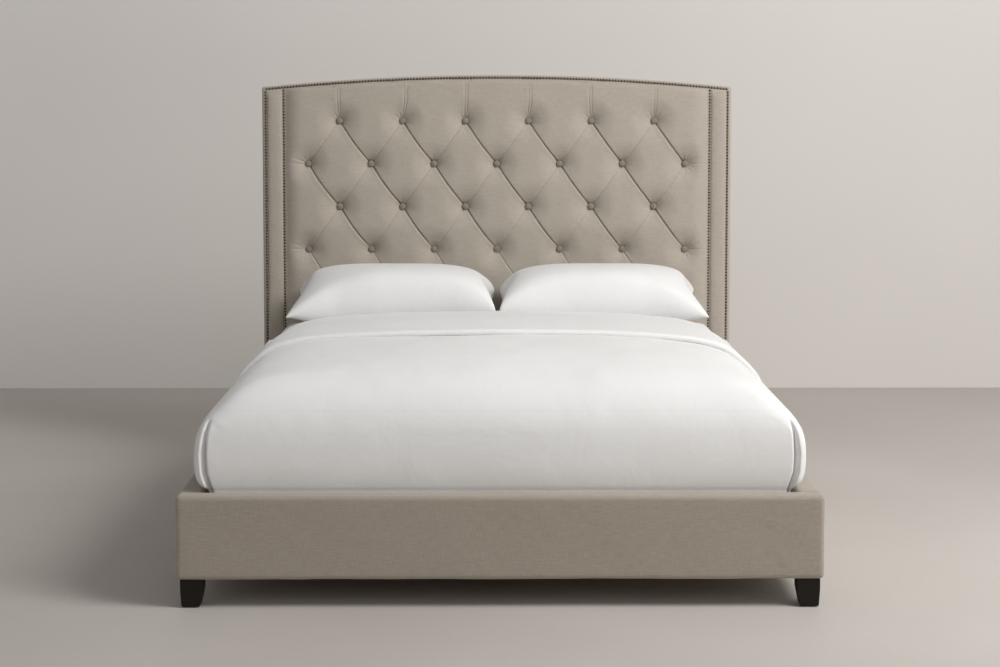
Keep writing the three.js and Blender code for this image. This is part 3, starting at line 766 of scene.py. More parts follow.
def lattice_marks(low, high):
    """Places along p or q from low to high, crowded on the fold lines."""
    units = np.arange(math.floor(low), math.ceil(high) + 1)
    share = np.arange(CELL_STEPS) / CELL_STEPS
    eased_share = share - 0.84 * np.sin(2 * math.pi * share) / (2 * math.pi)
    marks = (units[:, None] + eased_share[None, :]).ravel()
    return marks[(marks >= low - 0.1) & (marks <= high + 0.1)]


def tufted_panel():
    a_reach = seam_x / BUTTON_HALF_PITCH
    b_low = (pad_bottom - TOP_ROW_Z) / ROW_PITCH
    b_high = (crown - TOP_ROW_Z) / ROW_PITCH
    p_marks = lattice_marks((-a_reach + b_low - 1) / 2, (a_reach + b_high - 1) / 2)
    q_marks = lattice_marks((-a_reach - b_high - 1) / 2, (a_reach - b_low - 1) / 2)
    p, q = np.meshgrid(p_marks, q_marks, indexing="ij")
    x = (p + q + 1) * BUTTON_HALF_PITCH
    z = (p - q) * ROW_PITCH + TOP_ROW_Z
    margin = 0.012
    inside = (np.abs(x) < seam_x + margin) & (z > pad_bottom - margin)
    inside &= z < arch_z(np.clip(x, -half_width, half_width), FACE_INSET) + margin
    faces = grid_faces(*x.shape)
    faces = faces[inside.ravel()[faces].all(axis=1)]
    used, faces = np.unique(faces, return_inverse=True)
    faces = faces.reshape(-1, 4)
    flat = np.stack([x.ravel()[used], np.zeros(len(used)), z.ravel()[used]], axis=1)
    mesh = bpy.data.meshes.new("tufted_panel_flat")
    mesh.from_pydata([tuple(v) for v in flat], [], [tuple(f) for f in faces])
    shape = bmesh.new()
    shape.from_mesh(mesh)

    def trim(point, outward):
        everything = [*shape.verts, *shape.edges, *shape.faces]
        bmesh.ops.bisect_plane(
            shape, geom=everything, plane_co=point, plane_no=outward, clear_outer=True
        )

    trim((seam_x, 0, 0), (1, 0, 0))
    trim((-seam_x, 0, 0), (-1, 0, 0))
    trim((0, 0, pad_bottom), (0, 0, -1))
    for x_at in np.linspace(-seam_x, seam_x, 13):
        z_at = float(arch_z(x_at, FACE_INSET))
        lean = x_at / arch_radius
        trim((x_at, 0, z_at), (lean, 0, math.sqrt(1 - lean**2)))
    fine = []
    for edge in shape.edges:
        middle = (edge.verts[0].co + edge.verts[1].co) / 2
        from_pleat = abs((middle.x / BUTTON_HALF_PITCH) % 2 - 1) * BUTTON_HALF_PITCH
        above = middle.z > TOP_ROW_Z + 0.010 and from_pleat < 0.020
        from_row = abs(((middle.z - TOP_ROW_Z) / ROW_PITCH) % 2 - 1) * ROW_PITCH
        beside = abs(middle.x) > 6 * BUTTON_HALF_PITCH and from_row < 0.035 and middle.z > 0.55
        if above or beside:
            fine.append(edge)
    bmesh.ops.subdivide_edges(shape, edges=fine, cuts=2, use_grid_fill=True)
    rim = [edge for edge in shape.edges if edge.is_boundary]
    grown = bmesh.ops.extrude_edge_only(shape, edges=rim)["geom"]
    skirt = [v for v in grown if isinstance(v, bmesh.types.BMVert)]
    shape.verts.index_update()
    skirt_index = [v.index for v in skirt]
    shape.to_mesh(mesh)
    shape.free()
    points = mesh_points(mesh)
    points[:, 1] = face_y - tuft_height(points[:, 0], points[:, 2])
    points[skirt_index, 1] = pad_back
    mesh.vertices.foreach_set("co", points.ravel())
    mesh.polygons.foreach_set("use_smooth", [True] * len(mesh.polygons))
    mesh.materials.append(headboard_linen_painted_light.material)
    mesh.update()
    panel = bpy.data.objects.new("tufted_front", mesh)
    bpy.context.scene.collection.objects.link(panel)
    return panel


tufted_front = tufted_panel()
facing = tufted_front.data.polygons[0].normal.y
if facing > 0:
    tufted_front.data.flip_normals()
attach(tufted_front, "bed_frame")
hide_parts("tufted_panel")

# ---- Buttons ------------------------------------------------------------------------------
# Metal button shells covered in the headboard's linen, the cloth gathered behind the rim. Their
# linen is a much darker copy, as painted shade of the dimples they sit in. Each is tied through
# the foam with twine that ends behind the backer board.

BUTTON_RADIUS = 0.0120
BUTTON_SEAT = 0.0100  # behind the border's face
BUTTON_SECTION = [
    (0.0, 0.0088),
    (0.28, 0.0086),
    (0.55, 0.0077),
    (0.78, 0.0062),
    (0.93, 0.0042),
    (1.0, 0.0018),
    (0.97, -0.0006),
    (0.85, -0.0026),
    (0.6, -0.0034),
]
SPOKES = 28
# A darker copy of the headboard linen: painted shade of the dimples round the buttons.
button_linen_painted_shade = linen("button_linen_painted_shade", colour(0.30, 0.262, 0.218), colour(0.21, 0.182, 0.150))


def button(centre_x, centre_z, seat_y, seed):
    """Points and faces of one covered button, facing the foot of the bed."""
    turn = np.linspace(0, 2 * math.pi, SPOKES, endpoint=False)
    rings = []
    for share, rise in BUTTON_SECTION[1:]:
        tucks = 1 + 0.018 * np.sin(7 * turn + seed) * smooth((share - 0.5) * 2)
        reach = BUTTON_RADIUS * share * tucks
        x, z = centre_x + reach * np.cos(turn), centre_z + reach * np.sin(turn)
        rings.append(np.stack([x, np.full(SPOKES, seat_y - rise), z], axis=1))
    points = np.concatenate([[(centre_x, seat_y - BUTTON_SECTION[0][1], centre_z)], *rings])
    faces = [tuple(f + 1) for f in grid_faces(len(rings), SPOKES, wrap=True)[:, ::-1]]
    faces += [(0, 1 + k, 1 + (k + 1) % SPOKES) for k in range(SPOKES)]
    last = 1 + (len(rings) - 1) * SPOKES
    faces.append(tuple(last + k for k in range(SPOKES))[::-1])
    return points, faces


for row in range(ROW_COUNT):
    row_z = TOP_ROW_Z - row * ROW_PITCH
    points, faces, first = [], [], 0
    for number, (x, z) in enumerate(b for b in buttons if abs(b[1] - row_z) < 0.01):
        new_points, new_faces = button(x, z, face_y + BUTTON_SEAT, number * 1.7 + row)
        faces += [tuple(i + first for i in f) for f in new_faces]
        points.append(new_points)
        first += len(new_points)
    covered = add_mesh(f"covered_buttons_{row + 1}", np.concatenate(points), faces, button_linen_painted_shade)
    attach(covered, "bed_frame")
    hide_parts(f"button_row_{row + 1}")

# ---- Nail trim ----------------------------------------------------------------------------
# Close rows of domed upholstery nails in an antique bronze finish, driven in head to head down
# both edges of each border strip and along the arched top. Their heads differ a little.

NAIL_PITCH = 0.0106
NAIL_RADIUS = 0.0039
NAIL_RISE = 0.0028
NAIL_INSET = 0.008

bronze = Finish("antique_bronze", Metallic=1.0, Roughness=0.34)
patina = bronze.place.clouds(150.0, detail=2.0)
pitting = bronze.place.clouds(900.0, detail=2.0)
aged = (patina * 0.8 + pitting * 0.2).step(0.38, 0.66)
bronze.set("Base Color", aged.blend(colour(0.20, 0.155, 0.11), colour(0.05, 0.038, 0.028)))
bronze.set("Roughness", aged.between(0.34, 0.55))
bronze.set("Normal", pitting.bump(0.0002, 0.4))

NAIL_SIDES = 10
NAIL_RINGS = 4


def nail_row(name, node, path):
    """Domed heads spaced along a path of (x, z) points on the headboard's face."""
    path = np.asarray(path)
    legs = np.linalg.norm(np.diff(path, axis=0), axis=1)
    run = np.concatenate([[0], np.cumsum(legs)])
    count = int(run[-1] // NAIL_PITCH)
    stops = (np.arange(count + 1) + 0.5) * run[-1] / (count + 1)
    x = np.interp(stops, run, path[:, 0])
    z = np.interp(stops, run, path[:, 1])
    draw = np.random.default_rng(len(name) + count)
    tilt = draw.normal(scale=0.05, size=(len(x), 2))
    turn = np.linspace(0, 2 * math.pi, NAIL_SIDES, endpoint=False)
    points, faces = [], []
    ring_faces = grid_faces(NAIL_RINGS, NAIL_SIDES, wrap=True)
    base_y = face_y - 0.0002
    for k in range(len(x)):
        first = k * (NAIL_RINGS * NAIL_SIDES + 1)
        for level in np.linspace(0, 1, NAIL_RINGS, endpoint=False):
            angle = level * math.pi / 2
            spread = NAIL_RADIUS * math.cos(angle)
            rise = NAIL_RISE * math.sin(angle)
            across, up = spread * np.cos(turn), spread * np.sin(turn)
            lean = across * tilt[k, 0] + up * tilt[k, 1]
            points.append(np.stack([x[k] + across, base_y - rise + lean, z[k] + up], axis=1))
        points.append(np.array([[x[k], base_y - NAIL_RISE, z[k]]]))
        faces += [tuple(f + first) for f in ring_faces]
        tip = first + NAIL_RINGS * NAIL_SIDES
        top = tip - NAIL_SIDES
        faces += [(top + s, top + (s + 1) % NAIL_SIDES, tip) for s in range(NAIL_SIDES)]
    row = add_mesh(name, np.concatenate(points), faces, bronze)
    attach(row, "bed_frame")
    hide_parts(node)


top_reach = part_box("nail_strip_top")[1].x - NAIL_RADIUS
top_x = np.linspace(-top_reach, top_reach, 60)
nail_row("nails_top", "nail_strip_top", np.stack([top_x, arch_z(top_x, NAIL_INSET)], axis=1))
for row in ("outer", "inner"):
    for side in ("left", "right"):
        low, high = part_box(f"nail_strip_{row}_{side}")
        middle = (low.x + high.x) / 2
        top = float(arch_z(middle, NAIL_INSET)) - NAIL_PITCH * 0.6
        ends = [(middle, low.z), (middle, top)]
        nail_row(f"nails_{row}_{side}", f"nail_strip_{row}_{side}", ends)

# ---- Mattress -----------------------------------------------------------------------------
# A foam and spring mattress in knitted, quilted ticking, with a tape-bound cord along its lower
# edge. It lies loose on the slats.

QUILT_PITCH = 0.11
MATTRESS_CORNER = 0.038
TAPE_RADIUS = 0.004

ticking = Finish("mattress_ticking", Roughness=0.9, Sheen_Weight=0.1)
x, y, _ = ticking.place.xyz()
waves = math.pi / QUILT_PITCH
quilt = abs(((x + y) * waves).sine()) * abs(((x - y) * waves).sine())
knit = ticking.place.clouds(900.0, detail=1.0)
ticking.set("Base Color", knit.blend(colour(0.74, 0.72, 0.67), colour(0.80, 0.785, 0.74)))
ticking.set("Roughness", knit.between(0.85, 0.97))
ticking.set("Normal", (quilt**0.5 + knit * 0.05).bump(0.006, 0.7))

HEAD_EASE = Vector((0.0, 0.003, 0.0))  # keeps the head end clear of the buttoned panel
mattress_low, mattress_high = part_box("mattress")
mattress_high = mattress_high - HEAD_EASE
points, _, faces = rounded_box(mattress_low, mattress_high, MATTRESS_CORNER, 0.04)
mattress = add_mesh("mattress_body", points, faces, ticking)
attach(mattress, "mattress")
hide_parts("mattress")


def rounded_rectangle(low, high, z, corner, per_corner=8, inset=0.0):
    """A level path round a rectangle with rounded corners."""
    path = []
    x0, x1, y0, y1 = low.x + inset, high.x - inset, low.y + inset, high.y - inset
    centres = [(x1 - corner, y1 - corner), (x0 + corner, y1 - corner)]
    centres += [(x0 + corner, y0 + corner), (x1 - corner, y0 + corner)]
    for quarter, (cx, cy) in enumerate(centres):
        for k in range(per_corner + 1):
            angle = (quarter + k / per_corner) * math.pi / 2
            path.append((cx + corner * math.cos(angle), cy + corner * math.sin(angle), z))
    return np.array(path)


tape_path = rounded_rectangle(
    mattress_low, mattress_high, mattress_low.z + 0.0095, MATTRESS_CORNER, inset=0.0105
)
tape = cord_round("mattress_tape_lower", tape_path, (0.0, 0.0, 1.0), TAPE_RADIUS, ticking)
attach(tape, "mattress")

# ---- Fitted sheet -------------------------------------------------------------------------
# White cotton percale pulled over the mattress, with elastic in its hem that draws it in below
# the sides. It is stretched nearly flat on top.


def cotton(name, light, dark, crease):
    """White cotton with a fine weave and soft, shallow creases."""
    finish = Finish(name, Roughness=0.8, Sheen_Weight=0.18, Sheen_Roughness=0.45)
    finish.shader.inputs["Specular IOR Level"].default_value = 0.3
    weave = finish.place.clouds(1400.0, detail=1.0)
    soft = finish.place.clouds(5.5, detail=4.0, roughness=0.55, distortion=0.6)
    fine = finish.place.clouds(34.0, detail=3.0, roughness=0.6, distortion=1.2)
    tone = (soft * 0.6 + fine * 0.25 + weave * 0.15).step(0.3, 0.7)
    finish.set("Base Color", tone.blend(dark, light))
    finish.set("Roughness", fine.between(0.72, 0.88))
    finish.set("Normal", (soft * 0.75 + fine * 0.035 + weave * 0.006).bump(crease, 0.8))
    return finish


percale = cotton("sheet_percale", colour(0.86, 0.86, 0.85), colour(0.80, 0.80, 0.79), 0.004)
sheet_low, sheet_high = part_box("fitted_sheet")
sheet_high = sheet_high - HEAD_EASE
SHEET_CORNER = 0.0415
SHEET_HEM = 0.05


def fitted_sheet():
    below_hem = (sheet_low.x, sheet_low.y, sheet_low.z - 0.1)
    points, out, faces = rounded_box(below_hem, sheet_high, SHEET_CORNER, 0.03)
    level = points[:, 2]
    kept = level[faces].min(axis=1) > sheet_low.z - 0.004
    used, faces = np.unique(faces[kept], return_inverse=True)
    points, out = points[used], out[used]
    hem = smooth((sheet_low.z + SHEET_HEM - points[:, 2]) / SHEET_HEM)
    gathers = np.sin((points[:, 0] + points[:, 1]) * 2 * math.pi / 0.018)
    points = points - out * (hem * (0.0008 + 0.0006 * gathers))[:, None]
    sheet = add_mesh("sheet_over_mattress", points, faces.reshape(-1, 4), percale)
    thickness = sheet.modifiers.new("cloth_thickness", "SOLIDIFY")
    thickness.thickness = 0.0012
    thickness.offset = -1
    return sheet


sheet = fitted_sheet()
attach(sheet, "mattress")
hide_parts("fitted_sheet")

# ---- Duvet --------------------------------------------------------------------------------
# A down duvet in a smooth white cover, drawn over the mattress and tucked down inside the rails
# on three sides. Its sides swell over the rails, and each front corner is folded in like the
# end of a parcel, so that a soft upright roll stands beside the flat front.

cover_cotton = cotton("duvet_cotton", colour(0.87, 0.87, 0.865), colour(0.83, 0.83, 0.825), 0.006)
duvet_low, duvet_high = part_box("duvet")
bay_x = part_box("side_rail_board_right")[0].x - 0.012
LIP_X = bay_x - 0.004
LIP_Z = duvet_low.z
FRONT_Y = foot_high.y + 0.002
HEAD_Y = duvet_high.y
BROW_Z = 0.500
TOP_Z = duvet_high.z

# Up the outside: height, how far the side and the front stand inside the tucked edge.
DUVET_WALL = [
    (LIP_Z, 0.0, 0.0),
    (0.272, 0.0, 0.0),
    (0.291, -0.004, 0.0),
    (0.300, -0.017, -0.003),
    (0.315, -0.029, -0.006),
    (0.340, -0.037, -0.009),
    (0.382, -0.039, -0.010),
    (0.422, -0.036, -0.008),
    (0.455, -0.026, -0.003),
    (0.477, -0.011, 0.004),
    (BROW_Z, 0.012, 0.015),
]
# Over the top: distance inside the tucked edge and the height there, for a side and the front.
SIDE_TOP = [
    (0.012, 0.500),
    (0.035, 0.519),
    (0.062, 0.540),
    (0.082, 0.552),
    (0.150, 0.573),
    (0.240, 0.5845),
    (0.370, 0.593),
    (0.560, 0.5985),
    (LIP_X, TOP_Z),
]
FRONT_TOP = [
    (0.015, 0.500),
    (0.031, 0.521),
    (0.052, 0.541),
    (0.075, 0.555),
    (0.115, 0.571),
    (0.175, 0.584),
    (0.270, 0.594),
    (0.400, 0.600),
    (0.620, TOP_Z),
]


def rounded_line(points, count):
    """A smooth curve through points, as count evenly spaced places."""
    points = np.asarray(points, float)
    run = np.concatenate([[0], np.cumsum(np.linalg.norm(np.diff(points, axis=0), axis=1))])
    slope = np.gradient(points, run, axis=0)
    at = np.linspace(0, run[-1], count)
    k = np.clip(np.searchsorted(run, at, side="right") - 1, 0, len(run) - 2)
    length = (run[k + 1] - run[k])[:, None]
    t = (at - run[k])[:, None] / length
    return (
        (2 * t**3 - 3 * t**2 + 1) * points[k]
        + (t**3 - 2 * t**2 + t) * length * slope[k]
        + (3 * t**2 - 2 * t**3) * points[k + 1]
        + (t**3 - t**2) * length * slope[k + 1]
    )


side_curve = rounded_line(SIDE_TOP, 400)
front_curve = rounded_line(FRONT_TOP, 400)
HEAD_SLOPE = 0.016


def duvet_top(x, y):
    """Height of the duvet's top, which rounds off to the sides and to the front."""
    to_side = np.interp(LIP_X - np.abs(x), side_curve[:, 0], TOP_Z - side_curve[:, 1])
    to_front = np.interp(y - FRONT_Y, front_curve[:, 0], TOP_Z - front_curve[:, 1])
    toward_head = HEAD_SLOPE * smooth((y - 0.05) / (HEAD_Y - 0.05))
    return TOP_Z - toward_head - (to_side**4 + to_front**4) ** 0.25


CORNER_RADIUS = 0.034
BROW_CORNER = 0.060
# The corner fold's edge, from the rail up: height, and distance from the bed's middle.
FOLD_LINE = [
    (0.25, 0.738),
    (0.289, 0.740),
    (0.337, 0.7545),
    (0.383, 0.757),
    (0.438, 0.754),
    (0.475, 0.7445),
]
FOLD_TOP = 0.478
CORNER_START_Y = -0.93  # where the columns along the side begin to crowd together
STEADY_X = 0.55  # columns nearer the middle than this keep their place in every ring


def duvet_columns():
    """Where each column starts: the part of the outline it is on, and its place along it."""
    side = HEAD_Y - (HEAD_Y - CORNER_START_Y) * np.linspace(0, 1, 78)
    near_corner = np.linspace(CORNER_START_Y, FRONT_Y + BROW_CORNER, 22)[1:-1]
    turn = np.linspace(0, math.pi / 2, 26)
    front_dense = np.linspace(LIP_X - 0.002, 0.70, 44)[1:]
    front = np.linspace(0.70, 0.0, 42)[1:]
    return np.concatenate([side, near_corner]), turn, np.concatenate([front_dense, front])


def duvet_ring(side_in, front_in, corner):
    """One level of the duvet's right half, from the head end round the corner to the middle."""
    side_y, turn, front_x = duvet_columns()
    edge_x = LIP_X - side_in
    edge_y = FRONT_Y + front_in
    start_y = edge_y + corner
    y_side = HEAD_Y + (side_y - HEAD_Y) * (start_y - HEAD_Y) / (side_y[-1] - 0.002 - HEAD_Y)
    side = np.stack([np.full(len(side_y), edge_x), y_side], axis=1)
    bend_x, bend_y = edge_x - corner * (1 - np.cos(turn)), edge_y + corner * (1 - np.sin(turn))
    bend = np.stack([bend_x, bend_y], axis=1)
    end_x = edge_x - corner
    squeeze = (end_x - 0.002 - STEADY_X) / (front_x[0] - STEADY_X)
    x_front = np.where(front_x < STEADY_X, front_x, STEADY_X + (front_x - STEADY_X) * squeeze)
    front = np.stack([x_front, np.full(len(front_x), edge_y)], axis=1)
    return np.concatenate([side, bend, front])


def folded_corner(points, seed):
    """Presses the corner fold into the right half's front, and rounds the roll beside it."""
    x, y, z = points.T.copy()
    line = np.asarray(FOLD_LINE)
    fold_x = np.interp(z, line[:, 0], line[:, 1])
    open_share = smooth((FOLD_TOP - z) / 0.016)
    deeper = smooth((FOLD_TOP + 0.01 - z) / 0.10)
    width = 0.005 + 0.008 * deeper
    front_side = smooth((FRONT_Y + 0.11 - y) / 0.04) * smooth((0.53 - z) / 0.03)
    off = x - fold_x
    panel_edge = np.where(off < 0, bell(off, 0.0035), 1.0)
    roll_face = np.where(off < 0, 0.0, np.clip(off / width, 0, 1))
    valley = panel_edge * (1 - roll_face**0.75)
    roll = bell(off - 0.022, 0.012)
    y = y + front_side * open_share * ((0.008 + 0.017 * deeper) * valley - 0.004 * deeper * roll)
    crease = bell(off - 0.020, 0.0045) * smooth((0.465 - z) / 0.05) * smooth((z - 0.29) / 0.05)
    y = y + front_side * 0.0012 * crease
    toward = np.hypot(x - 0.735, (z - FOLD_TOP) * 1.4)
    below = smooth((FOLD_TOP + 0.006 - z) / 0.02)
    puckers = np.sin(np.arctan2(FOLD_TOP - z, 0.745 - x) * 6 + seed) * bell(toward - 0.03, 0.02)
    y = y + front_side * 0.0006 * below * puckers
    return np.stack([x, y, z], axis=1)


def duvet_body():
    wall = rounded_line(DUVET_WALL, 60)
    inner_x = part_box("fitted_sheet")[1].x + 0.003
    inner_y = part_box("fitted_sheet")[0].y - 0.003
    roof_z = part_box("fitted_sheet")[1].z + 0.003
    rings = []
    inside = [(roof_z, 0.043), (roof_z - 0.012, 0.012), (roof_z - 0.043, 0.0)]
    inside += [(0.34, 0.0), (0.30, 0.0), (LIP_Z, 0.0)]
    for inner_z, inset in inside:
        ring = duvet_ring(LIP_X - inner_x + inset, inner_y - FRONT_Y + inset, 0.045)
        rings.append(np.column_stack([ring, np.full(len(ring), inner_z)]))
    corner_share = smooth((wall[:, 0] - 0.44) / (BROW_Z - 0.44))
    brow = duvet_ring(wall[-1, 1], wall[-1, 2], BROW_CORNER)
    brow_z = duvet_top(brow[:, 0], brow[:, 1])
    for (z, side_in, front_in), share in zip(wall, corner_share):
        radius = CORNER_RADIUS + (BROW_CORNER - CORNER_RADIUS) * share
        radius -= 0.018 * (1 - smooth((z - 0.29) / 0.07))
        ring = duvet_ring(side_in, front_in, radius)
        height = LIP_Z + (z - LIP_Z) * (brow_z - LIP_Z) / (BROW_Z - LIP_Z)
        rings.append(np.column_stack([ring, height]))
    middle = np.stack([np.zeros(len(brow)), np.maximum(brow[:, 1], -0.36)], axis=1)
    for share in 1 - (1 - np.linspace(0, 1, 46)[1:]) ** 1.7:
        flat = brow + (middle - brow) * share
        rings.append(np.column_stack([flat, duvet_top(flat[:, 0], flat[:, 1])]))
    centre = np.column_stack([middle, np.full(len(middle), roof_z)])
    right = np.stack([centre, *rings])
    left = right[:, -2::-1] * (-1, 1, 1)
    right_points = folded_corner(right.reshape(-1, 3), 0.4).reshape(right.shape)
    mirrored = folded_corner((left * (-1, 1, 1)).reshape(-1, 3), 2.1) * (-1, 1, 1)
    points = np.concatenate([right_points, mirrored.reshape(left.shape)], axis=1)
    rows, columns = points.shape[:2]
    faces = [tuple(f) for f in grid_faces(rows, columns)]
    index = np.arange(rows * columns).reshape(rows, columns)
    inner_rows = 1 + len(inside)
    faces += head_end_faces(points[:, 0], index[:, 0], inner_rows)
    faces += head_end_faces(points[:, -1], index[:, -1], inner_rows)
    return points.reshape(-1, 3), faces


def head_end_faces(edge, index, inner_rows):
    """Faces that close one half of the head end, between its inner and its outer edge."""
    inner, outer = edge[:inner_rows][::-1], edge[inner_rows:]
    inner_index, outer_index = index[:inner_rows][::-1], index[inner_rows:]
    at, faces = 0, []
    for k in range(len(outer) - 1):
        faces.append((inner_index[at], outer_index[k], outer_index[k + 1]))
        while at < inner_rows - 1:
            middle = (inner[at] + inner[at + 1]) / 2
            ahead = inner[at + 1] - inner[at]
            if (outer[k + 1] - middle) @ ahead < 0 and k < len(outer) - 2:
                break
            faces.append((inner_index[at], outer_index[k + 1], inner_index[at + 1]))
            at += 1
    return faces


def cleaned(piece, gap=1e-5):
    """Joins points that lie on each other, drops flat faces and turns all faces outward."""
    shape = bmesh.new()
    shape.from_mesh(piece.data)
    bmesh.ops.remove_doubles(shape, verts=shape.verts, dist=gap)
    bmesh.ops.dissolve_degenerate(shape, edges=shape.edges, dist=gap / 2)
    bmesh.ops.recalc_face_normals(shape, faces=shape.faces)
    shape.to_mesh(piece.data)
    shape.free()


SWELL_X = 0.7636
duvet_points, duvet_faces = duvet_body()
loose = ripple(duvet_points, 0.42, 51) * 0.0022 + ripple(duvet_points, 0.12, 52) * 0.0006
on_top = smooth((duvet_points[:, 2] - 0.515) / 0.05)
duvet_points[:, 2] += loose * on_top
on_side = smooth((np.abs(duvet_points[:, 0]) - SWELL_X) / 0.01) * (1 - on_top)
hang = np.sin(duvet_points[:, 1] * 2 * math.pi / 0.21 + 3 * ripple(duvet_points, 0.5, 53))
duvet_points[:, 0] += np.sign(duvet_points[:, 0]) * 0.0016 * hang * on_side
duvet = add_mesh("duvet_in_cover", duvet_points, duvet_faces, cover_cotton)
cleaned(duvet)
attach(duvet, "duvet")
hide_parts("duvet")

# ---- Turned-down band ---------------------------------------------------------------------
# The head end of the duvet, folded back on itself in front of the pillows. It is one thinner
# layer that lies on the top and hangs down the sides, with a soft round fold along its front
# edge and a thick soft turn at the pillows.

band_front_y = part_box("turned_down_band")[0].y
BAND_THICKNESS = 0.0185
BAND_GAP = -0.0028
BAND_BOTTOM_Z = 0.345
TURN_REACH = 0.020


def band_section(y):
    """The duvet's outline across the bed at y, from low on its left side to its right."""
    wall = rounded_line(DUVET_WALL, 60)
    wall = wall[wall[:, 0] > BAND_BOTTOM_Z]
    run = np.concatenate([np.linspace(wall[-1, 1], 0.16, 28)[1:], np.linspace(0.16, LIP_X, 26)[1:]])
    x_top = LIP_X - run
    side = np.stack([LIP_X - wall[:, 1], wall[:, 0]], axis=1)
    top = np.stack([x_top, duvet_top(x_top, np.full(len(x_top), y))], axis=1)
    right = np.concatenate([side, top])
    return np.concatenate([right[:-1] * (-1, 1), right[::-1]])


def band_outline(count_top=46):
    """The band's closed outline along the bed: y, rise above the duvet, share of its depth."""
    nose = BAND_THICKNESS / 2
    front, back = band_front_y + nose, HEAD_Y - 0.012
    places = []
    for turn in np.linspace(-90, 90, 12):
        angle = math.radians(turn)
        places.append((front - nose * math.cos(angle), nose * (1 + math.sin(angle)), 0.0))
    for share in np.linspace(0, 1, count_top)[1:]:
        y = front + (back - front) * share
        pressed = 0.004 * smooth(min(share / 0.06, (1 - share) / 0.25)) * 0.6
        places.append((y, 2 * nose - pressed, 0.0))
    for turn in np.linspace(90, 0, 9)[1:]:
        angle = math.radians(turn)
        y = back + TURN_REACH * math.cos(angle)
        places.append((y, 2 * nose * math.sin(angle) ** 1.2, 0.25 * (1 - math.sin(angle))))
    for share in np.linspace(0.25, 1.0, 7)[1:]:
        places.append((back + TURN_REACH - 0.003 * share, 0.0, share))
    inner_y = back + 0.0135
    places += [(inner_y, 0.0, share) for share in (1.0, 0.5, 0.0)]
    for share in np.linspace(1, 0, 20)[1:]:
        places.append((front + (inner_y - front) * share, 0.0, 0.0))
    return np.array(places)


def turned_down_band():
    outline = band_outline()
    draped = []
    for y, rise, hang in outline:
        section = band_section(min(y, HEAD_Y))
        ahead = np.gradient(section, axis=0)
        ahead /= np.linalg.norm(ahead, axis=1, keepdims=True)
        out = np.stack([-ahead[:, 1], ahead[:, 0]], axis=1)
        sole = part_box("fitted_sheet")[1].z + 0.004
        depth = np.clip(section[:, 1] - sole, 0.006, None) * hang
        thin = 0.32 + 0.68 * smooth((section[:, 1] - 0.43) / 0.12)
        off = BAND_GAP + rise * thin - depth
        place = section + out * off[:, None]
        draped.append(np.column_stack([place[:, 0], np.full(len(place), y), place[:, 1]]))
    grid = np.stack(draped, axis=1)
    flat = grid.reshape(-1, 3)
    sway = ripple(flat * (1, 0, 1), 0.55, 61) * 0.004
    settle = np.clip((0.1 - flat[:, 1]) / 0.3, 0, 1)
    flat[:, 1] += sway * settle
    stations, loop = grid.shape[:2]
    faces = [tuple(f) for f in grid_faces(stations, loop, wrap=True)]
    faces.append(tuple(range(loop))[::-1])
    faces.append(tuple((stations - 1) * loop + k for k in range(loop)))
    return flat, faces


band_points, band_faces = turned_down_band()
band = add_mesh("turned_down_fold", band_points, band_faces, cover_cotton)
cleaned(band)
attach(band, "duvet")
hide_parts("turned_down_band")

# ---- Pillows ------------------------------------------------------------------------------
# Two standard pillows in plain white cases, side by side on the sheet: two rectangles of cotton
# sewn together round their edge and stuffed, so that the sides draw in between the corners. The
# stuffed case is calmed towards a plain pillow, whose outer front corners sag to the duvet.

pillow_cotton = cotton("pillow_cotton", colour(0.89, 0.89, 0.885), colour(0.85, 0.85, 0.845), 0.005)
CASE_WIDTH = 0.745
CASE_DEPTH = 0.555
PILLOW_SPAN = 0.701
PILLOW_REACH = 0.512
OUTWARD = 0.0035  # the pillows lie this much further apart than their cases' middles
STUFFING_FRAMES = 16
STUFFING_PRESSURE = 5.0
OUTLINE_TAKEN = 0.5  # how much of the stuffed case's outline, and of its height, is kept
HEIGHT_TAKEN = 0.12


def sewn_case(name, seed):
    """A flat case, slightly filled, as a closed mesh: front sheet, back sheet and the seam."""
    across, along = 60, 46
    u, v = np.meshgrid(np.linspace(-1, 1, across + 1), np.linspace(-1, 1, along + 1), indexing="ij")
    fullness = ((1 - u**4) * (1 - v**4)) ** 0.7
    draw = np.random.default_rng(seed)
    uneven = 1 + 0.12 * np.sin(3 * u + draw.uniform(0, 6)) * np.sin(2.5 * v + draw.uniform(0, 6))
    rise = 0.035 * fullness * uneven
    x, y = u * CASE_WIDTH / 2, v * CASE_DEPTH / 2
    sheets = [np.stack([x, y, side * rise], axis=2).reshape(-1, 3) for side in (1, -1)]
    count = len(sheets[0])
    faces = grid_faces(across + 1, along + 1)
    both = np.concatenate([faces, faces[:, ::-1] + count])
    case = add_mesh(name, np.concatenate(sheets), both, pillow_cotton)
    cleaned(case, 1e-6)
    return case


def stuffed(case, frames, pressure):
    """Fills a sewn case by cloth simulation and keeps the result as its mesh."""
    cloth = case.modifiers.new("stuffing", "CLOTH")
    cloth.settings.quality = 6
    cloth.settings.mass = 0.25
    cloth.settings.tension_stiffness = 40
    cloth.settings.compression_stiffness = 40
    cloth.settings.shear_stiffness = 20
    cloth.settings.bending_stiffness = 0.8
    cloth.settings.use_pressure = True
    cloth.settings.uniform_pressure_force = pressure
    cloth.settings.effector_weights.gravity = 0
    cloth.settings.air_damping = 4
    cloth.collision_settings.use_collision = False
    cloth.collision_settings.use_self_collision = False
    cloth.point_cache.frame_start = 1
    cloth.point_cache.frame_end = frames
    scene = bpy.context.scene
    for step in range(1, frames + 1):
        scene.frame_set(step)
    points = mesh_points(case.evaluated_get(bpy.context.evaluated_depsgraph_get()).data)
    case.modifiers.remove(cloth)
    case.data.vertices.foreach_set("co", points.ravel())
    case.data.update()
    scene.frame_set(1)


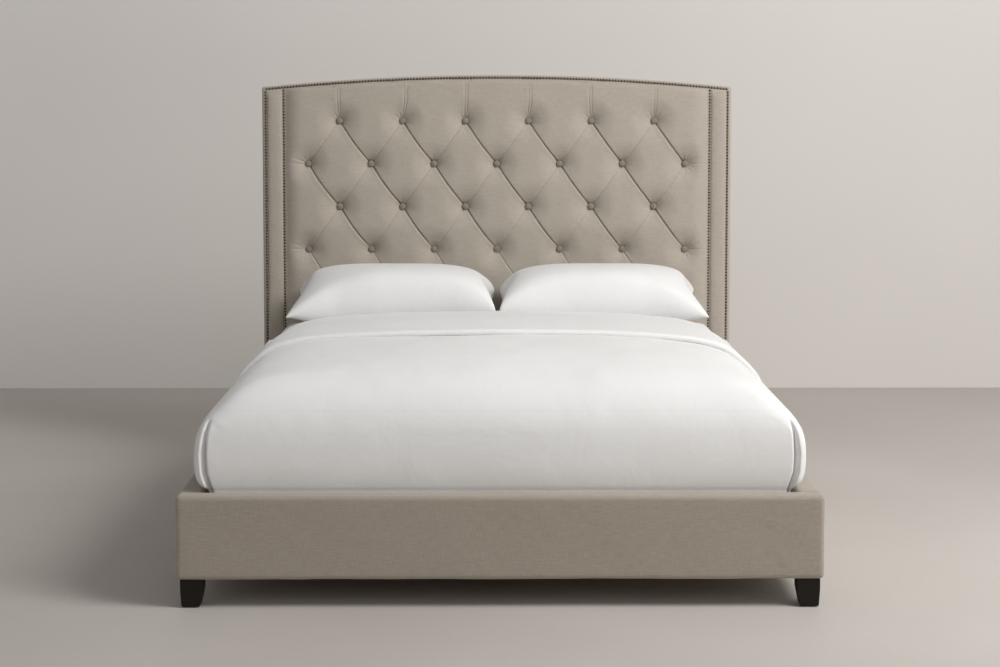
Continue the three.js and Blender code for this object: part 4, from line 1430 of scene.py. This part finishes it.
def rubbed_smooth(values, mesh, passes):
    """Averages a value with its neighbours along the mesh's edges, a few times over."""
    ends = np.array([tuple(edge.vertices) for edge in mesh.edges])
    count = np.bincount(ends.ravel(), minlength=len(values))
    for _ in range(passes):
        total = np.bincount(ends[:, 0], values[ends[:, 1]], len(values))
        total += np.bincount(ends[:, 1], values[ends[:, 0]], len(values))
        values = 0.5 * values + 0.5 * total / count
    return values


def laid_pillow(side, sign, seed):
    case = sewn_case(f"pillow_in_case_{side}", seed)
    points = mesh_points(case.data)
    u, v = points[:, 0] * 2 / CASE_WIDTH, points[:, 1] * 2 / CASE_DEPTH
    y_share = v * (1 - 0.085 * (1 - u**2) * np.abs(v) ** 3)
    outer = smooth(0.5 + sign * u)
    x_share = u * (1 - (0.09 + 0.09 * outer) * (1 - v**2) * np.abs(u) ** 3)
    to_foot = smooth((0.25 - v) / 1.1) * (0.25 + 0.75 * outer)
    blunt = (1 - np.abs(u) ** (3.3 - 1.3 * to_foot)).clip(0) ** (0.40 + 0.42 * to_foot)
    full = blunt * (1 - np.abs(v) ** 2.8).clip(0) ** 0.42 * np.sign(points[:, 2])
    stuffed(case, STUFFING_FRAMES, STUFFING_PRESSURE)
    filled = mesh_points(case.data)
    filled = filled / np.abs(filled).max(axis=0)
    x_share = x_share + OUTLINE_TAKEN * rubbed_smooth(filled[:, 0] - x_share, case.data, 24)
    y_share = y_share + OUTLINE_TAKEN * rubbed_smooth(filled[:, 1] - y_share, case.data, 24)
    full = full + HEIGHT_TAKEN * rubbed_smooth(filled[:, 2] - full, case.data, 10)
    x_share, y_share, full = [part / np.abs(part).max() for part in (x_share, y_share, full)]
    node_low, node_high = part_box(f"pillow_{side}")
    centre_x = (node_low.x + node_high.x) / 2 + sign * OUTWARD
    centre_y = (node_low.y + node_high.y) / 2
    thickness = node_high.z - node_low.z - 0.001
    upper = 0.52 * thickness
    lower = thickness - upper
    flattened = -(1 - (1 - np.clip(-full, 0, 1)) ** 1.7)
    rise = np.where(full > 0, full * upper, flattened * lower)
    corner = (np.abs(u) ** 4) * (np.abs(v) ** 4)
    sag = np.where(v < 0, 0.022 + 0.026 * outer, -0.012) * corner
    tilt = 0.012 * v * np.clip(full + 0.3, 0, 1)
    x = centre_x + x_share * PILLOW_SPAN / 2
    y = centre_y + y_share * PILLOW_REACH / 2
    z = np.maximum(node_low.z + 0.0005 + lower + rise - sag - tilt, node_low.z + 0.0004)
    case.data.vertices.foreach_set("co", np.stack([x, y, z], axis=1).ravel())
    case.data.update()
    finer = case.modifiers.new("finer", "SUBSURF")
    finer.levels = 1
    finer.render_levels = 1
    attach(case, f"pillow_{side}")
    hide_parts(f"pillow_{side}")


laid_pillow("left", -1, 71)
laid_pillow("right", 1, 72)
